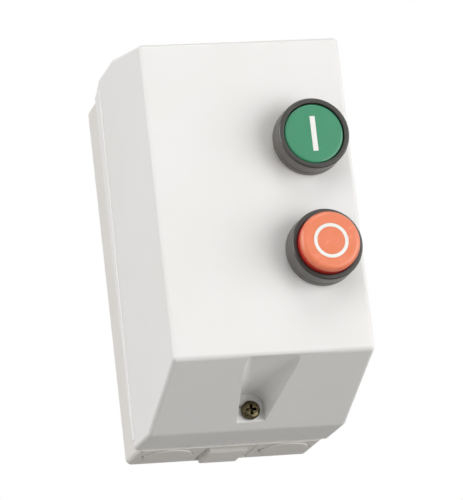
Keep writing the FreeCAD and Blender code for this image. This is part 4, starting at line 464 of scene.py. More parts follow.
made, tree, place = new_finish("polycarbonate_red_turned_mould")
depth = add(tree, "SeparateXYZ", {0: place}).outputs["Y"]
# painted light: the front face takes a pale orange, as lit, and the side a deep red, as in
# shade
height = add(tree, "MapRange", {"Value": depth, "From Min": CAP_SIDE, "From Max": CAP_FACE},
             interpolation_type="SMOOTHSTEP")
cloud = add(tree, "TexNoise", {"Vector": place, "Scale": 1 / (5 * MM)})
drift = add(tree, "MapRange", {"Value": cloud, **NOISE})
face = add(tree, "Mix", {0: drift, 6: linear("#EE8459"), 7: linear("#F18A66")},
           data_type="RGBA")
tone = add(tree, "Mix", {0: height, 6: linear("#C6302A"), 7: face}, data_type="RGBA")
gloss = add(tree, "MapRange", {"Value": drift, "To Min": 0.22, "To Max": 0.28})
centre = add(tree, "Mapping", {"Vector": place, "Location": -at(BUTTON_ACROSS, 0, STOP_UP)})
rings = add(tree, "TexWave", {"Vector": centre, "Scale": WAVE / (6.28 * MM)},
            wave_type="RINGS", rings_direction="Y")
bumps = add(tree, "Bump", {"Height": rings, "Distance": 0.006 * MM})
close_finish(tree, {"Base Color": tone, "IOR": 1.53, "Roughness": gloss, "Normal": bumps,
                    "Subsurface Weight": 0.15, "Subsurface Scale": 1.2 * MM})
finishes["red_cap"] = made
print("red cap", len(tree.nodes), "nodes")

# %% [markdown]
# The collars are glass-filled nylon. Their sides come from a sparked mould and look
# dull grey. Their front rings come from a polished one and look nearly black, because
# a smooth dark surface scatters less light. The tone changes over the last 0.4 mm of
# the front edge's rounding, so that the lamp-lit rounding is painted dark as well:
# painted shade that keeps that edge dull.

# %% The collars
RING_BACK, RING_FRONT = -119.2 * MM, -119.6 * MM

made, tree, place = new_finish("nylon_dark_grey_filled")
grit = add(tree, "TexNoise", {"Vector": place, "Scale": 1 / (0.5 * MM), "Detail": 3})
cloud = add(tree, "TexNoise", {"Vector": place, "Scale": 1 / (20 * MM)})
depth = add(tree, "SeparateXYZ", {0: place}).outputs["Y"]
# painted shade: the dark front tone also covers the rounding of the front edge, which the lamps
# light
ring = add(tree, "MapRange", {"Value": depth, "From Min": RING_BACK, "From Max": RING_FRONT})
side = add(tree, "Mix", {0: cloud, 6: linear("#57544F"), 7: linear("#4E4B47")},
           data_type="RGBA")
front = add(tree, "Mix", {0: grit, 6: linear("#3B3936"), 7: linear("#353330")},
            data_type="RGBA")
tone = add(tree, "Mix", {0: ring, 6: side, 7: front}, data_type="RGBA")
gloss = add(tree, "MapRange", {"Value": ring, "To Min": 0.36, "To Max": 0.24})
bumps = add(tree, "Bump", {"Height": grit, "Distance": 0.006 * MM})
close_finish(tree, {"Base Color": tone, "IOR": 1.53, "Roughness": gloss, "Normal": bumps})
finishes["bezel"] = made
print("collars", len(tree.nodes), "nodes")

# %% [markdown]
# Rubber seals are dull and nearly black, with a bloom of grey dust where they are
# handled. The clear flap over the relay's dial is polished polycarbonate: it is drawn
# as solid glass-like plastic, with its colour only a breath of grey.

# %% Rubber and clear plastic
made, tree, place = new_finish("epdm_rubber_moulded")
dust = add(tree, "TexNoise", {"Vector": place, "Scale": 1 / (6 * MM), "Detail": 4})
grit = add(tree, "TexNoise", {"Vector": place, "Scale": 1 / (0.5 * MM), "Detail": 3})
bloom = add(tree, "MapRange", {"Value": dust, "From Min": 0.45, "From Max": 0.75})
tone = add(tree, "Mix", {0: bloom, 6: linear("#2E2D2C"), 7: linear("#454341")},
           data_type="RGBA")
gloss = add(tree, "MapRange", {"Value": dust, **NOISE, "To Min": 0.68, "To Max": 0.84})
bumps = add(tree, "Bump", {"Height": grit, "Distance": 0.02 * MM})
close_finish(tree, {"Base Color": tone, "Roughness": gloss, "Normal": bumps, "IOR": 1.5})
finishes["gasket"] = made

made, tree, place = new_finish("polycarbonate_clear_polished")
haze = add(tree, "TexNoise", {"Vector": place, "Scale": 1 / (4 * MM)})
tone = add(tree, "Mix", {0: haze, 6: linear("#F3F6F7"), 7: linear("#E9EEF0")},
           data_type="RGBA")
gloss = add(tree, "MapRange", {"Value": haze, **NOISE, "To Min": 0.03, "To Max": 0.10})
bumps = add(tree, "Bump", {"Height": haze, "Distance": 0.003 * MM})
close_finish(tree, {"Base Color": tone, "Roughness": gloss, "Normal": bumps, "IOR": 1.586,
                    "Transmission Weight": 0.92})
finishes["clear"] = made
print("finishes", len(finishes))

# %% [markdown]
# ## Metals
# A plated screw keeps the marks of rolling and tumbling under its thin coat. Zinc is
# bluish and slightly cloudy, and turned brass is warmer, with finer marks. The strips
# that carry the current are tinned, which leaves them pale. Drawn spring wire has the
# finest marks of all, which are drawn 0.15 mm wide.

# %% Plated and bare metals
def metal(name, pale, deep, rough, patch=1.5, scratch=0.25, height=0.004):
    """A metal whose tone drifts in patches, with fine marks of its making."""
    return drifting(name, pale, deep, rough, 0.08, patch, scratch, height, (3, 4),
                    {"Metallic": 1.0})


finishes.update({
    "zinc": metal("steel_blue_zinc_plated", "#C3C7CC", "#AEB3B9", 0.32, 2.0),
    "brass": metal("brass_turned", "#C9A45C", "#B8924B", 0.26, 2.0, 0.2),
    "silver_brass": metal("brass_strip_tinned", "#D3CDBA", "#BFB592", 0.28, 3.0),
    "spring_steel": metal("spring_steel_drawn", "#A8A9AC", "#8D8E92", 0.26, 1.2, 0.15),
})
print("finishes", len(finishes))

# %% [markdown]
# Yellow passivation lays a film over the zinc that runs from straw to olive, patch by
# patch. Shade is painted into the recess of a screw and under its head: nearness to
# other surfaces, within 1.6 mm, darkens the colour to nearly black.

# %% Yellow zinc
made, tree, place = new_finish("steel_yellow_passivated_zinc")
cloud = add(tree, "TexNoise", {"Vector": place, "Scale": 1 / (0.9 * MM), "Detail": 3})
marks = add(tree, "TexNoise", {"Vector": place, "Scale": 1 / (0.25 * MM), "Detail": 4})
drift = add(tree, "MapRange", {"Value": cloud, **NOISE})
coat = add(tree, "Mix", {0: drift, 6: linear("#6C6248"), 7: linear("#453F30")},
           data_type="RGBA")
# painted shade: nearness to other surfaces darkens the coat to nearly black in the cross recess
# and under the head
open_air = add(tree, "AmbientOcclusion", {"Distance": 1.6 * MM}).outputs["AO"]
painted_shade_mask = add(tree, "MapRange", {"Value": open_air, "From Min": 0.35, "From Max": 0.8})
tone = add(tree, "Mix", {0: painted_shade_mask, 6: linear("#0E0B07"), 7: coat}, data_type="RGBA")
gloss = add(tree, "MapRange", {"Value": marks, **NOISE, "To Min": 0.20, "To Max": 0.34})
bumps = add(tree, "Bump", {"Height": marks, "Distance": 0.004 * MM})
close_finish(tree, {"Base Color": tone, "Metallic": 1.0, "Roughness": gloss, "Normal": bumps})
finishes["yellow_zinc"] = made
print("yellow zinc", len(tree.nodes), "nodes")

# %% [markdown]
# Four inner materials are known by their pattern. The iron core is a pack of sheets
# 0.5 mm thick, whose edges are drawn as lines 0.9 mm apart, so that they show. The coil
# is enamelled wire laid turn beside turn; the real turns are 0.2 mm apart and are drawn
# at 0.6 mm. The heaters wear a woven glass sleeve, whose threads are drawn 0.9 mm
# apart. The bimetal strips carry the straw and blue tints that heat leaves on steel.

# %% Core, coil, sleeve and bimetal
def striped(name, axis, step, pale, deep, low, high, height):
    """A metal with lines so many millimetres apart, across one axis."""
    made, tree, place = new_finish(name)
    lines = add(tree, "TexWave", {"Vector": place, "Scale": WAVE / (step * MM),
                                  "Detail": 1.0, "Distortion": 0.4},
                bands_direction=axis).outputs["Fac"]
    marks = add(tree, "TexNoise", {"Vector": place, "Scale": 1 / (2.5 * MM), "Detail": 3})
    tone = add(tree, "Mix", {0: lines, 6: linear(deep), 7: linear(pale)}, data_type="RGBA")
    gloss = add(tree, "MapRange", {"Value": marks, **NOISE, "To Min": low, "To Max": high})
    bumps = add(tree, "Bump", {"Height": lines, "Distance": height * MM})
    close_finish(tree, {"Base Color": tone, "Metallic": 1.0, "Roughness": gloss,
                        "Normal": bumps})
    return made


finishes["lamination"] = striped("silicon_steel_stack", "X", 0.9, "#8B8C8F", "#5D5E62",
                                 0.34, 0.50, 0.05)
finishes["copper"] = striped("copper_enamelled_winding", "Y", 0.6, "#B9683C", "#7A3518",
                             0.24, 0.34, 0.10)
finishes["bimetal"] = metal("bimetal_strip_heat_tinted", "#A9A49A", "#8C8C95", 0.30, 4.0)

made, tree, place = new_finish("glass_sleeve_woven")
weave = [add(tree, "TexWave", {"Vector": place, "Scale": WAVE / (0.9 * MM)},
             bands_direction=axis).outputs["Fac"] for axis in ("Z", "DIAGONAL")]
cloth = add(tree, "Math", {0: weave[0], 1: weave[1]}, operation="MULTIPLY")
tone = add(tree, "Mix", {0: cloth, 6: linear("#B9AF96"), 7: linear("#EAE4D3")},
           data_type="RGBA")
gloss = add(tree, "MapRange", {"Value": cloth, "To Min": 0.55, "To Max": 0.75})
bumps = add(tree, "Bump", {"Height": cloth, "Distance": 0.12 * MM})
close_finish(tree, {"Base Color": tone, "Roughness": gloss, "Normal": bumps, "IOR": 1.5})
finishes["heater"] = made
print("finishes", len(finishes))

# %% [markdown]
# The control wires have a soft vinyl skin, drawn over the copper while hot. It is
# smooth and slightly waxy. Red is the colour of control wiring on mains voltage.

# %% Wire skin
finishes["wire"] = moulded("vinyl_red_extruded", "#A93128", "#9C2B23", 0.38, 0.8, 0.006,
                           {"Subsurface Weight": 0.05, "Subsurface Scale": 0.3 * MM})
print("finishes", len(finishes))

# %% [markdown]
# The floor is matt and pale. Seen directly it glows, so that it stays nearly white and
# joins the backdrop; in a mirror it glows less. It throws only a dim light up, because
# a white floor would flatten the starter's underside. From below it can't be seen.

# %% Floor paint
SEEN_GLOW, MIRROR_GLOW = 0.86, 0.16

made, tree, place = new_finish("floor_pale_matt")
path = add(tree, "LightPath")
seen = add(tree, "Math", {0: path.outputs["Is Camera Ray"],
                          1: path.outputs["Is Transmission Ray"]}, operation="MAXIMUM")
tone = add(tree, "Mix", {0: seen, 6: linear("#B0AFAD"), 7: linear("#4A4A49")},
           data_type="RGBA")
mirrored = add(tree, "Math", {0: path.outputs["Is Glossy Ray"], 1: MIRROR_GLOW},
               operation="MULTIPLY")
glow = add(tree, "Math", {0: seen, 1: SEEN_GLOW, 2: mirrored}, operation="MULTIPLY_ADD")
mottle = add(tree, "TexNoise", {"Vector": place, "Scale": 1 / (400 * MM)})
light = add(tree, "Mix", {0: mottle, 6: linear("#FCFCFB"), 7: linear("#F9F9F8")},
            data_type="RGBA")
above = add(tree, "Math", {0: 1.0, 1: add(tree, "NewGeometry").outputs["Backfacing"]},
            operation="SUBTRACT")
close_finish(tree, {"Base Color": tone, "Roughness": 0.9, "Emission Strength": glow,
                    "Emission Color": light, "Alpha": above})
floor.data.materials.append(made)
print("floor", len(tree.nodes), "nodes")

# %% [markdown]
# ## The cover
# The real cover is one moulding of pale plastic: a box that is open at the back, with
# a top that falls away a little and a lower front that slants back under the face. It
# could be drawn corner by corner, but a block sliced by four planes is quicker and
# each face stays truly flat.

# %% Slice the cover's block
def slice_off(a, b):
    """Cut away what lies outside a plane across the cover through two (depth, up)."""
    along = Vector((b[0] - a[0], b[1] - a[1]))
    out = Vector((-along.y, along.x)).normalized()
    if out.dot(Vector((a[0] - 70, a[1]))) < 0:
        out = -out
    bpy.ops.mesh.select_all(action="SELECT")
    bpy.ops.mesh.bisect(plane_co=at(0, *a), plane_no=(0, -out.x, out.y),
                        use_fill=True, clear_outer=True)


HALF, WALL = 42.5, 2.4
# depths from the wall: the front face, the top's two folds, the slant's foot, the rim
FACE, FOLD, BACK_FOLD, SLANT, RIM = 108.5, 60.5, 35.0, 53.6, 27.0
# heights, from the highest to the lowest
CREST, SHOULDER, RIM_TOP, FACE_TOP, FACE_LOW, BOTTOM = 80.5, 79.9, 76.0, 72.0, -60.4, -79.9

cover = block("cover_shell", (-HALF, HALF), (RIM, FACE), (BOTTOM, CREST))
edit()
slice_off((FACE, FACE_LOW), (SLANT, BOTTOM))
slice_off((FACE, FACE_TOP), (FOLD, CREST))
slice_off((FOLD, CREST), (BACK_FOLD, SHOULDER))
slice_off((BACK_FOLD, SHOULDER), (RIM, RIM_TOP))
print("cover faces after slicing", len(cover.data.polygons))

# %% [markdown]
# The back is opened and Solidify gives the block its wall, inwards, so the outside
# keeps its size. The outside edges are bevelled only now: a wall that is thicker than
# the bevel's radius would fold over itself inside round corners.

# %% Hollow the cover and round its edges
pick("FACE", lambda middle, normal: middle.y < RIM + 0.1)
bpy.ops.mesh.delete(type="FACE")
edit(False)
modify(cover, "SOLIDIFY", thickness=WALL * MM, offset=-1, use_even_offset=True,
       use_quality_normals=True)
edit()
pick("EDGE", lambda a, b: min(abs(a.x), abs(b.x)) > HALF - 0.1 and max(a.y, b.y) > RIM + 0.1)
bpy.ops.mesh.bevel(offset=1.8 * MM, offset_type="OFFSET", segments=5, profile=0.5,
                   affect="EDGES", clamp_overlap=True)
edit(False)
print("cover corners", len(cover.data.vertices))

# %% [markdown]
# A band runs down each side beside the rim, half a millimetre proud, where the two
# halves of the mould meet the slide. It narrows downwards. Thin wedges are added.

# %% Bands on the sides
BAND_HEAD, BAND_FOOT = 36, 29.5  # depths of its front edge, at its top and at its foot
for side in (-1, 1):
    band = block("band", (side * (HALF - 0.4), side * (HALF + 0.5)), (RIM, BAND_HEAD),
                 (-76.3, 74.2))
    edit()
    pick("VERT", lambda spot: spot.y > RIM + 1 and spot.z < 0)
    bpy.ops.transform.translate(value=at(0, BAND_FOOT - BAND_HEAD, 0))
    edit(False)
    soften(band, 0.44, 1)
    combine(cover, band)
tidy(cover)
print("cover corners", len(cover.data.vertices))

# %% [markdown]
# Inside, a ledge backs the gasket, a column leads the cover screw, and two round noses
# on the top edge are the hinge. Each is a simple solid joined to the shell.

# %% Ledge, column and hinge noses
GASKET_FRONT = 35.3
HINGE_ACROSS, HINGE_DEPTH, HINGE_UP = 10, 24.6, 76.6
ledge = block("ledge", (-41.3, 41.3), (GASKET_FRONT, GASKET_FRONT + 1.7), (-78.7, 78.7))
hole = block("hole", (-36.5, 36.5), (GASKET_FRONT - 1, GASKET_FRONT + 3), (-73.9, 70.0))
combine(ledge, hole, how="DIFFERENCE")
column = rod("column", 4.3, (33.3, 60.0), 0, SCREW_UP)
noses = []
for side in (-1, 1):
    span = (side * HINGE_ACROSS - 3, side * HINGE_ACROSS + 3)
    noses.append(rod("nose", 1.4, span, HINGE_DEPTH, HINGE_UP, 24, "across"))
    noses.append(block("neck", span, (HINGE_DEPTH, 30.0), (75.6, 77.3)))
combine(cover, ledge, column, *noses)
print("cover corners", len(cover.data.vertices))

# %% [markdown]
# The cover screw sits at the bottom of a well that runs in from the slanted face. Its
# mouth is wide and nearly square, its end narrow and round. Two flat outlines with
# their upper corners rounded differently, but by as many points, are bridged. A larger
# body of the same kind is added to the cover first, so that the well has a wall too.

# %% The screw well
def outline(depth, half, top, low, radius):
    """An upright sheet whose two upper corners are rounded."""
    bpy.ops.mesh.primitive_plane_add(size=1, location=at(0, depth, (top + low) / 2),
                                     rotation=(math.pi / 2, 0, 0))
    sheet = bpy.context.object
    sheet.scale = (2 * half * MM, (top - low) * MM, 1)
    settle(sheet, "outline")
    edit()
    pick("VERT", lambda spot: spot.z > top - 0.1)
    bpy.ops.mesh.bevel(offset=radius * MM, segments=8, affect="VERTICES")
    bpy.ops.mesh.select_all(action="SELECT")
    bpy.ops.mesh.delete(type="ONLY_FACE")
    edit(False)
    return sheet


def bridge(name, first, second):
    """Join two open outlines into a closed solid."""
    alone(first)
    second.select_set(True)
    bpy.ops.object.join()
    edit()
    bpy.ops.mesh.select_mode(type="EDGE")
    bpy.ops.mesh.select_all(action="SELECT")
    bpy.ops.mesh.bridge_edge_loops()
    close_ends()
    return settle(first, name)


LOW = -78.7  # the skin ends a little above the cover's lowest face
skin = bridge("well_skin", outline(depth=57.6, half=8.4, top=-63.2, low=LOW, radius=6.0),
              outline(depth=107.3, half=14.9, top=-58.0, low=LOW, radius=4.0))
edit()
slice_off((107.3, -59.6), (SLANT, LOW))
edit(False)
combine(cover, skin)
well = bridge("well", outline(depth=60.0, half=6.0, top=-65.6, low=-99.9, radius=5.4),
              outline(depth=112.0, half=12.97, top=-60.0, low=-99.9, radius=2.8))
combine(cover, well, how="DIFFERENCE")
way = rod("way", 2.35, (26.5, 61), 0, SCREW_UP, 32)
doors = [rod("door", 11.2, (105, 110), BUTTON_ACROSS, up, 96) for up in (START_UP, STOP_UP)]
combine(cover, way, *doors, how="DIFFERENCE")
tidy(cover)
print("cover corners", len(cover.data.vertices))

# %% [markdown]
# A moulded mouth is never knife-sharp. The edges where the well meets the slanted face
# are rounded by 0.6 mm, which draws a soft bright line round the mouth.

# %% Round the mouth
def on_slant(spot):
    """Is a place on the slanted face, near the middle?"""
    line = BOTTOM + (spot.y - SLANT) * (FACE_LOW - BOTTOM) / (FACE - SLANT)
    return abs(spot.z - line) < 0.05 and abs(spot.x) < 14


alone(cover)
edit()
pick("EDGE", lambda a, b: on_slant(a) and on_slant(b))
bpy.ops.mesh.bevel(offset=0.6 * MM, segments=3, affect="EDGES", clamp_overlap=True)
edit(False)
print("cover corners", len(cover.data.vertices))

# %% [markdown]
# ## The base tray
# The base is a shallow tray of slightly darker plastic, screwed to the wall. Its top
# rises a little towards the cover, and dips in the middle to leave room for the hinge.
# A block is sliced to that slope, its corners are rounded, and the room is cut out of
# it as one plain block, which keeps every wall 2.5 mm thick.

# %% The tray
base = block("base_tray", (-39.9, 39.9), (0, 26.5), (-80.5, 78.0))
edit()
slice_off((26.5, 77.1), (0, 76.0))
pick("EDGE", lambda a, b: abs(a.x - b.x) < 0.1 and abs(a.y - b.y) > 20)
bpy.ops.mesh.bevel(offset=2.4 * MM, segments=6, affect="EDGES")
edit(False)
combine(base, block("room", (-37.4, 37.4), (3.0, 27.5), (-78.0, 72.5)),
        block("dip", (-15, 15), (-1, 27.5), (75.0, 79.0)), how="DIFFERENCE")
# a thinner tongue stands up inside the cover's rim
tongue = block("tongue", (-39.5, 39.5), (24.0, 33.0), (-76.9, 73.0))
mouth = block("mouth", (-37.45, 37.45), (23.0, 34.0), (-74.9, 71.0))
combine(base, combine(tongue, mouth, how="DIFFERENCE"))
print("tray corners", len(base.data.vertices))

# %% [markdown]
# A pad runs along the middle of the underside, with a sloped front end and broken long
# edges. A boss holds the brass insert for the cover screw, and two cradles on the top
# edge take the cover's hinge noses.

# %% Pad, bosses and cradles
PAD_SLOPE = 5
pad = block("pad", (-8.4, 8.4), (0, 24.5), (-81.79, -79.2))
edit()
pick("VERT", lambda spot: spot.y > 24 and spot.z < -81)
bpy.ops.transform.translate(value=at(0, -PAD_SLOPE, 0))
pick("EDGE", lambda a, b: a.z < -81 and b.z < -81 and abs(a.x - b.x) < 0.1)
bpy.ops.mesh.bevel(offset=0.9 * MM, segments=3, affect="EDGES")
edit(False)
EARTH = (-26, -58)  # across and up
more = [
    pad,
    rod("boss", 4.0, (1.5, 33.0), 0, SCREW_UP),
    block("rib", (-1.25, 1.25), (1.5, 25.5), (-79.3, SCREW_UP)),
    rod("earth_boss", 5.5, (1.5, 7.0), *EARTH),
]
less = [rod("insert_seat", 2.9, (20.6, 28.6), 0, SCREW_UP, 32),
        rod("insert_way", 2.45, (20.8, 34.0), 0, SCREW_UP, 32),
        rod("earth_hole", 2.0, (3.0, 8.0), *EARTH, 24)]
for side in (-1, 1):
    span = (side * HINGE_ACROSS - 3.6, side * HINGE_ACROSS + 3.6)
    more.append(block("cradle", span, (20.8, 24.3), (73.8, 77.8)))
    more.append(block("cradle_lip", span, (23.2, 25.1), (73.8, 75.2)))
    less.append(rod("cradle_bore", 1.5, (span[0] - 1, span[1] + 1), HINGE_DEPTH, HINGE_UP,
                    32, "across"))
    less.append(rod("rail_hole", 1.6, (0.6, 4.0), 33.2 if side > 0 else -30, UNIT_UP, 24))
    for up in (68.0, -70.0):
        less.append(rod("wall_hole", 2.65, (-1, 4), side * 33, up, 32))
combine(base, *more)
combine(base, *less, how="DIFFERENCE")
print("tray corners", len(base.data.vertices))

# %% [markdown]
# Each cable entry is a knock-out: a raised disc held by the thin bottom of a groove,
# with two small starting holes at its sides. The groove is a ring, made by cutting a
# small rod out of a larger one, and the ring is then cut out of the wall. Under the
# base two shallow channels beside the pad part the entries.

# %% Knock-outs and channels
ENTRY, ENTRY_ACROSS, ENTRY_DEPTH = 10.3, 25.5, 15.4
for side in (-1, 1):
    # the wall's outside, the disc's raised face, and the bottom of the groove
    for face, out, deep in ((-80.5, -81.0, -79.0), (76.4, 77.1, 74.8)):
        spot = (side * ENTRY_ACROSS, ENTRY_DEPTH)
        way_out = 1 if out > 0 else -1
        disc = rod("disc", ENTRY, (deep, out), *spot, 72, "up")
        soften(disc, 0.45, 3)
        ring = rod("ring", ENTRY + 0.35, (out + way_out, deep), *spot, 72, "up")
        core = rod("core", ENTRY - 0.05, (out + 2 * way_out, deep - way_out), *spot, 72, "up")
        combine(ring, core, how="DIFFERENCE")
        pilots = [rod("pilot", 0.8, (out + way_out, face - 4 * way_out),
                      spot[0] + end * (ENTRY + 0.6), ENTRY_DEPTH, 20, "up") for end in (-1, 1)]
        combine(base, ring, how="DIFFERENCE")
        combine(base, disc)
        combine(base, *pilots, how="DIFFERENCE")
for ends, top in (((-10.8, -8.4), -79.2), ((8.4, 12.2), -80.0)):
    combine(base, block("channel", ends, (1.6, 24.6), (-82, top)), how="DIFFERENCE")
tidy(base)
soften(base, 0.35, 2, 50)
keep(base, "housing", "housing", "base_housing")
print("base corners", len(base.data.vertices))

# %% [markdown]
# ## Round pieces
# Collars, caps, seals and screw heads are turned shapes. A circle is extruded ring by
# ring along the profile, and each new ring is scaled to its radius, which keeps every
# radius and depth a plain number.

# %% Turning
def turned(name, across, up, profile, sides=96, ends="closed"):
    """Extrude a circle through (radius, depth) rings. Closed ends get a flat face; a
    loop comes back to its first ring."""
    bpy.ops.object.select_all(action="DESELECT")
    first = profile[0]
    bpy.ops.mesh.primitive_circle_add(
        vertices=sides, radius=first[0] * MM, location=at(across, first[1], up),
        rotation=(math.pi / 2, 0, 0), fill_type="NGON" if ends == "closed" else "NOTHING")
    piece = settle(bpy.context.object, name)
    edit()
    bpy.ops.mesh.select_mode(type="EDGE")
    bpy.ops.mesh.select_all(action="SELECT")
    if ends == "closed":
        bpy.ops.mesh.region_to_loop()
    for (radius, depth), (wider, further) in zip(profile, profile[1:]):
        bpy.ops.mesh.extrude_edges_move(
            TRANSFORM_OT_translate={"value": at(0, further - depth, 0)})
        grow = wider / radius
        bpy.ops.transform.resize(value=(grow, 1, grow), center_override=at(across, further, up))
    if ends == "closed":
        bpy.ops.mesh.edge_face_add()
    weld()
    face_outwards()
    return piece


def arc(radius, depth, round_off, turns=5):
    """Rings that round an outer front corner of a turned piece."""
    steps = [math.pi / 2 * i / turns for i in range(turns + 1)]
    return [(radius - round_off * (1 - math.cos(a)), depth - round_off * (1 - math.sin(a)))
            for a in steps]


def washer(inner, outer, back, front):
    """Rings of a flat washer or a tube, which come back to the first one."""
    return [(inner, back), (outer, back), (outer, front), (inner, front), (inner, back)]


print("an edge rounded by 1 mm:", [(round(r, 2), round(d, 2)) for r, d in arc(5, 0, 1, 2)])

# %% [markdown]
# Both push-buttons have the same dark collar, with a step near its foot and a chamfer
# at its front. A rubber seal lies under it, and a lock nut with six notches draws it
# down from behind the panel. The notches are cut with one block, turned step by step.

# %% Collars, seals and lock nuts
for word, up in (("start", START_UP), ("stop", STOP_UP)):
    collar = turned(word + "_collar", BUTTON_ACROSS, up, [
        (5.4, 98.6), (10.95, 98.6), (10.95, 109.3), (15.0, 109.3), (15.0, 112.5),
        (14.75, 112.8), (14.9, 113.1), (14.9, 119.5), (14.4, 120.0), (12.85, 120.0),
        (12.85, 110.0), (9.0, 110.0), (9.0, 100.0), (5.4, 100.0), (5.4, 98.6)], ends="loop")
    soften(collar, 0.18, 3, 30)
    keep(collar, "cover", "bezel", word + "_bezel")
    seal = turned(word + "_washer", BUTTON_ACROSS, up, washer(11.0, 14.2, 108.5, 109.3),
                  ends="loop")
    soften(seal, 0.2, 3, 30)
    keep(seal, "cover", "gasket", word + "_seal")
    nut = turned(word + "_nut", BUTTON_ACROSS, up, washer(11.0, 14.0, 101.6, 106.1),
                 ends="loop")
    for i in range(6):
        notch = block("notch", (12.8, 15.0), (101, 107), (-2, 2))
        alone(notch)
        bpy.ops.transform.rotate(value=-i * math.pi / 3, orient_axis="Y",
                                 center_override=(0, 0, 0))
        bpy.ops.transform.translate(value=at(BUTTON_ACROSS, 0, up))
        combine(nut, settle(notch, "notch"), how="DIFFERENCE")
    soften(nut, 0.25, 2, 40)
    keep(nut, "cover", "nut", word + "_lock_nut")
print("pieces", len(pieces))

# %% [markdown]
# The caps are glossy. The green one lies just inside its collar, so that it isn't
# pressed by accident; the red one stands proud, so that it is easy to hit. A shallow
# pocket in each face holds a white inlay: a bar for on and a ring for off. The inlays
# are separate mouldings on the real cap, so they are separate here, with a hair's gap
# round them.

# %% Caps and inlays
CAP, CAP_BACK, GREEN_FRONT, RED_FRONT = 12.6, 114.3, 119.4, 125.59
green = turned("green_cap", BUTTON_ACROSS, START_UP,
               [(CAP, CAP_BACK)] + arc(CAP, GREEN_FRONT, 1.0) + [(11.2, GREEN_FRONT)])
bar_pocket = block("pocket", (22.97, 25.23), (119.0, 121), (21.12, 35.88))
combine(green, bar_pocket, how="DIFFERENCE")
shade(green)
keep(green, "start_button", "green_cap", "start_cap")
bar = block("on_bar", (23.0, 25.2), (119.02, 119.42), (21.15, 35.85))
soften(bar, 0.08, 2)
keep(bar, "start_button", "mark", "start_mark")

red = turned("red_cap", BUTTON_ACROSS, STOP_UP,
             [(CAP, CAP_BACK)] + arc(CAP, RED_FRONT, 2.1, 8) + [(10.2, RED_FRONT)])
ring_pocket = turned("pocket", BUTTON_ACROSS, STOP_UP, washer(5.77, 7.28, 125.2, 127),
                     ends="loop")
combine(red, ring_pocket, how="DIFFERENCE")
shade(red)
keep(red, "stop_button", "red_cap", "stop_cap")
ring = turned("off_ring", BUTTON_ACROSS, STOP_UP, washer(5.8, 7.25, 125.22, RED_FRONT),
              ends="loop")
soften(ring, 0.08, 2)
keep(ring, "stop_button", "mark", "stop_mark")
print("cap fronts", GREEN_FRONT, "and", RED_FRONT, "mm from the wall")

# %% [markdown]
# Behind each cap a white rod slides in the collar's neck. The start rod ends above the
# contactor's start contact, the stop rod above the relay's stop button.

# %% Push rods
def push_rod(name, up, radius, tip):
    """A thin rod with a wide guide at its front, which ends at the cap's back."""
    made = turned(name, BUTTON_ACROSS, up, [
        (radius, tip), (radius, 107.3), (8.92, 107.3), (8.92, CAP_BACK)], 64)
    return soften(made, 0.25)


keep(push_rod("start_push_rod", START_UP, 4.8, 96.3), "start_button", "push_rod",
     "start_plunger")
keep(push_rod("stop_push_rod", STOP_UP, 2.8, 75.7), "stop_button", "push_rod", "stop_rod")
print("pieces", len(pieces))

# %% Springs
def coil(name, radius, wire, turns, start, end, across, up):
    """A spring of so many turns between two depths. wire is half the wire's thickness."""
    bpy.ops.object.select_all(action="DESELECT")
    bpy.ops.mesh.primitive_circle_add(vertices=14, radius=wire * MM,
                                      location=at(across, start + wire, up))
    spring = bpy.context.object
    edit()
    bpy.ops.mesh.select_all(action="SELECT")
    bpy.ops.transform.translate(value=(radius * MM, 0, 0))
    edit(False)
    modify(spring, "SCREW", axis="Y", angle=2 * math.pi, iterations=turns,
           screw_offset=-(end - start - 2 * wire) / turns * MM, steps=36, render_steps=36)
    edit()
    weld(0.002)
    close_ends()
    bpy.ops.object.shade_smooth()
    return settle(spring, name)


SPRINGS = {
    # name: (radius, wire, turns, held end, moving end, across, up, body, joint, travel)
    "start_spring": (6.9, 0.4, 3, 100.0, 107.3, BUTTON_ACROSS, START_UP, "cover",
                     "start_press", 4.0),
    "stop_spring": (6.9, 0.4, 3, 100.0, 107.3, BUTTON_ACROSS, STOP_UP, "cover",
                    "stop_press", 4.0),
    "start_block_spring": (1.7, 0.3, 3, 77.4, 84.1, BUTTON_ACROSS, START_UP, "housing",
                           "start_contact_close", 4.0),
    "relay_stop_spring": (2.6, 0.3, 4, 52.0, 60.0, BUTTON_ACROSS, STOP_UP, "housing",
                          "relay_stop_press", 4.0),
    "reset_spring": (2.6, 0.3, 4, 52.0, 60.0, BUTTON_ACROSS, -33.0, "housing",
                     "relay_reset_press", 2.5),
    "return_spring": (10.2, 0.45, 4, 35.5, 48.3, UNIT_ACROSS, UNIT_UP, "housing",
                      "contactor_pull_in", 4.5),
}
for word, (radius, wire, turns, held, end, across, up, body, joint, travel) in SPRINGS.items():
    start = held  # each of these is held at its back end
    spring = coil(word + "_wire", radius, wire, turns, start, end, across, up)
    keep(spring, body, "spring_steel", word)
    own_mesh(spring)
print("springs", len(SPRINGS))

# %% [markdown]
# Each of the contactor's four poles has a small spring that presses its bridge on the
# contacts. On the real contactor the four shorten together; here they are joined into
# one piece.

# %% Bridge springs
def joined(parts, name):
    """Join several objects into one piece."""
    alone(parts[0])
    for other in parts[1:]:
        other.select_set(True)
    if len(parts) > 1:
        bpy.ops.object.join()
    return settle(parts[0], name)


poles = [UNIT_ACROSS + POLE_STEP * step for step in (-1.5, -0.5, 0.5, 1.5)]
four = joined([coil("bridge_wire", 1.8, 0.25, 4, 64.7, 69.4, across, UNIT_UP)
               for across in poles], "bridge_springs_wire")
keep(four, "armature", "spring_steel", "bridge_springs")
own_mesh(four)
print("bridge springs", len(poles))

# %% [markdown]
# ## Screws
# The cover screw is a pan-head machine screw with a cross recess, yellow from its
# passivated zinc. Its head is a turned dome. The cross is cut by two tapered wedges. A
# rubber washer lies under its head, and it turns into a brass insert in the tray.

# %% The cover screw
TAPER = 0.62  # width of the cross at its bottom, against its top


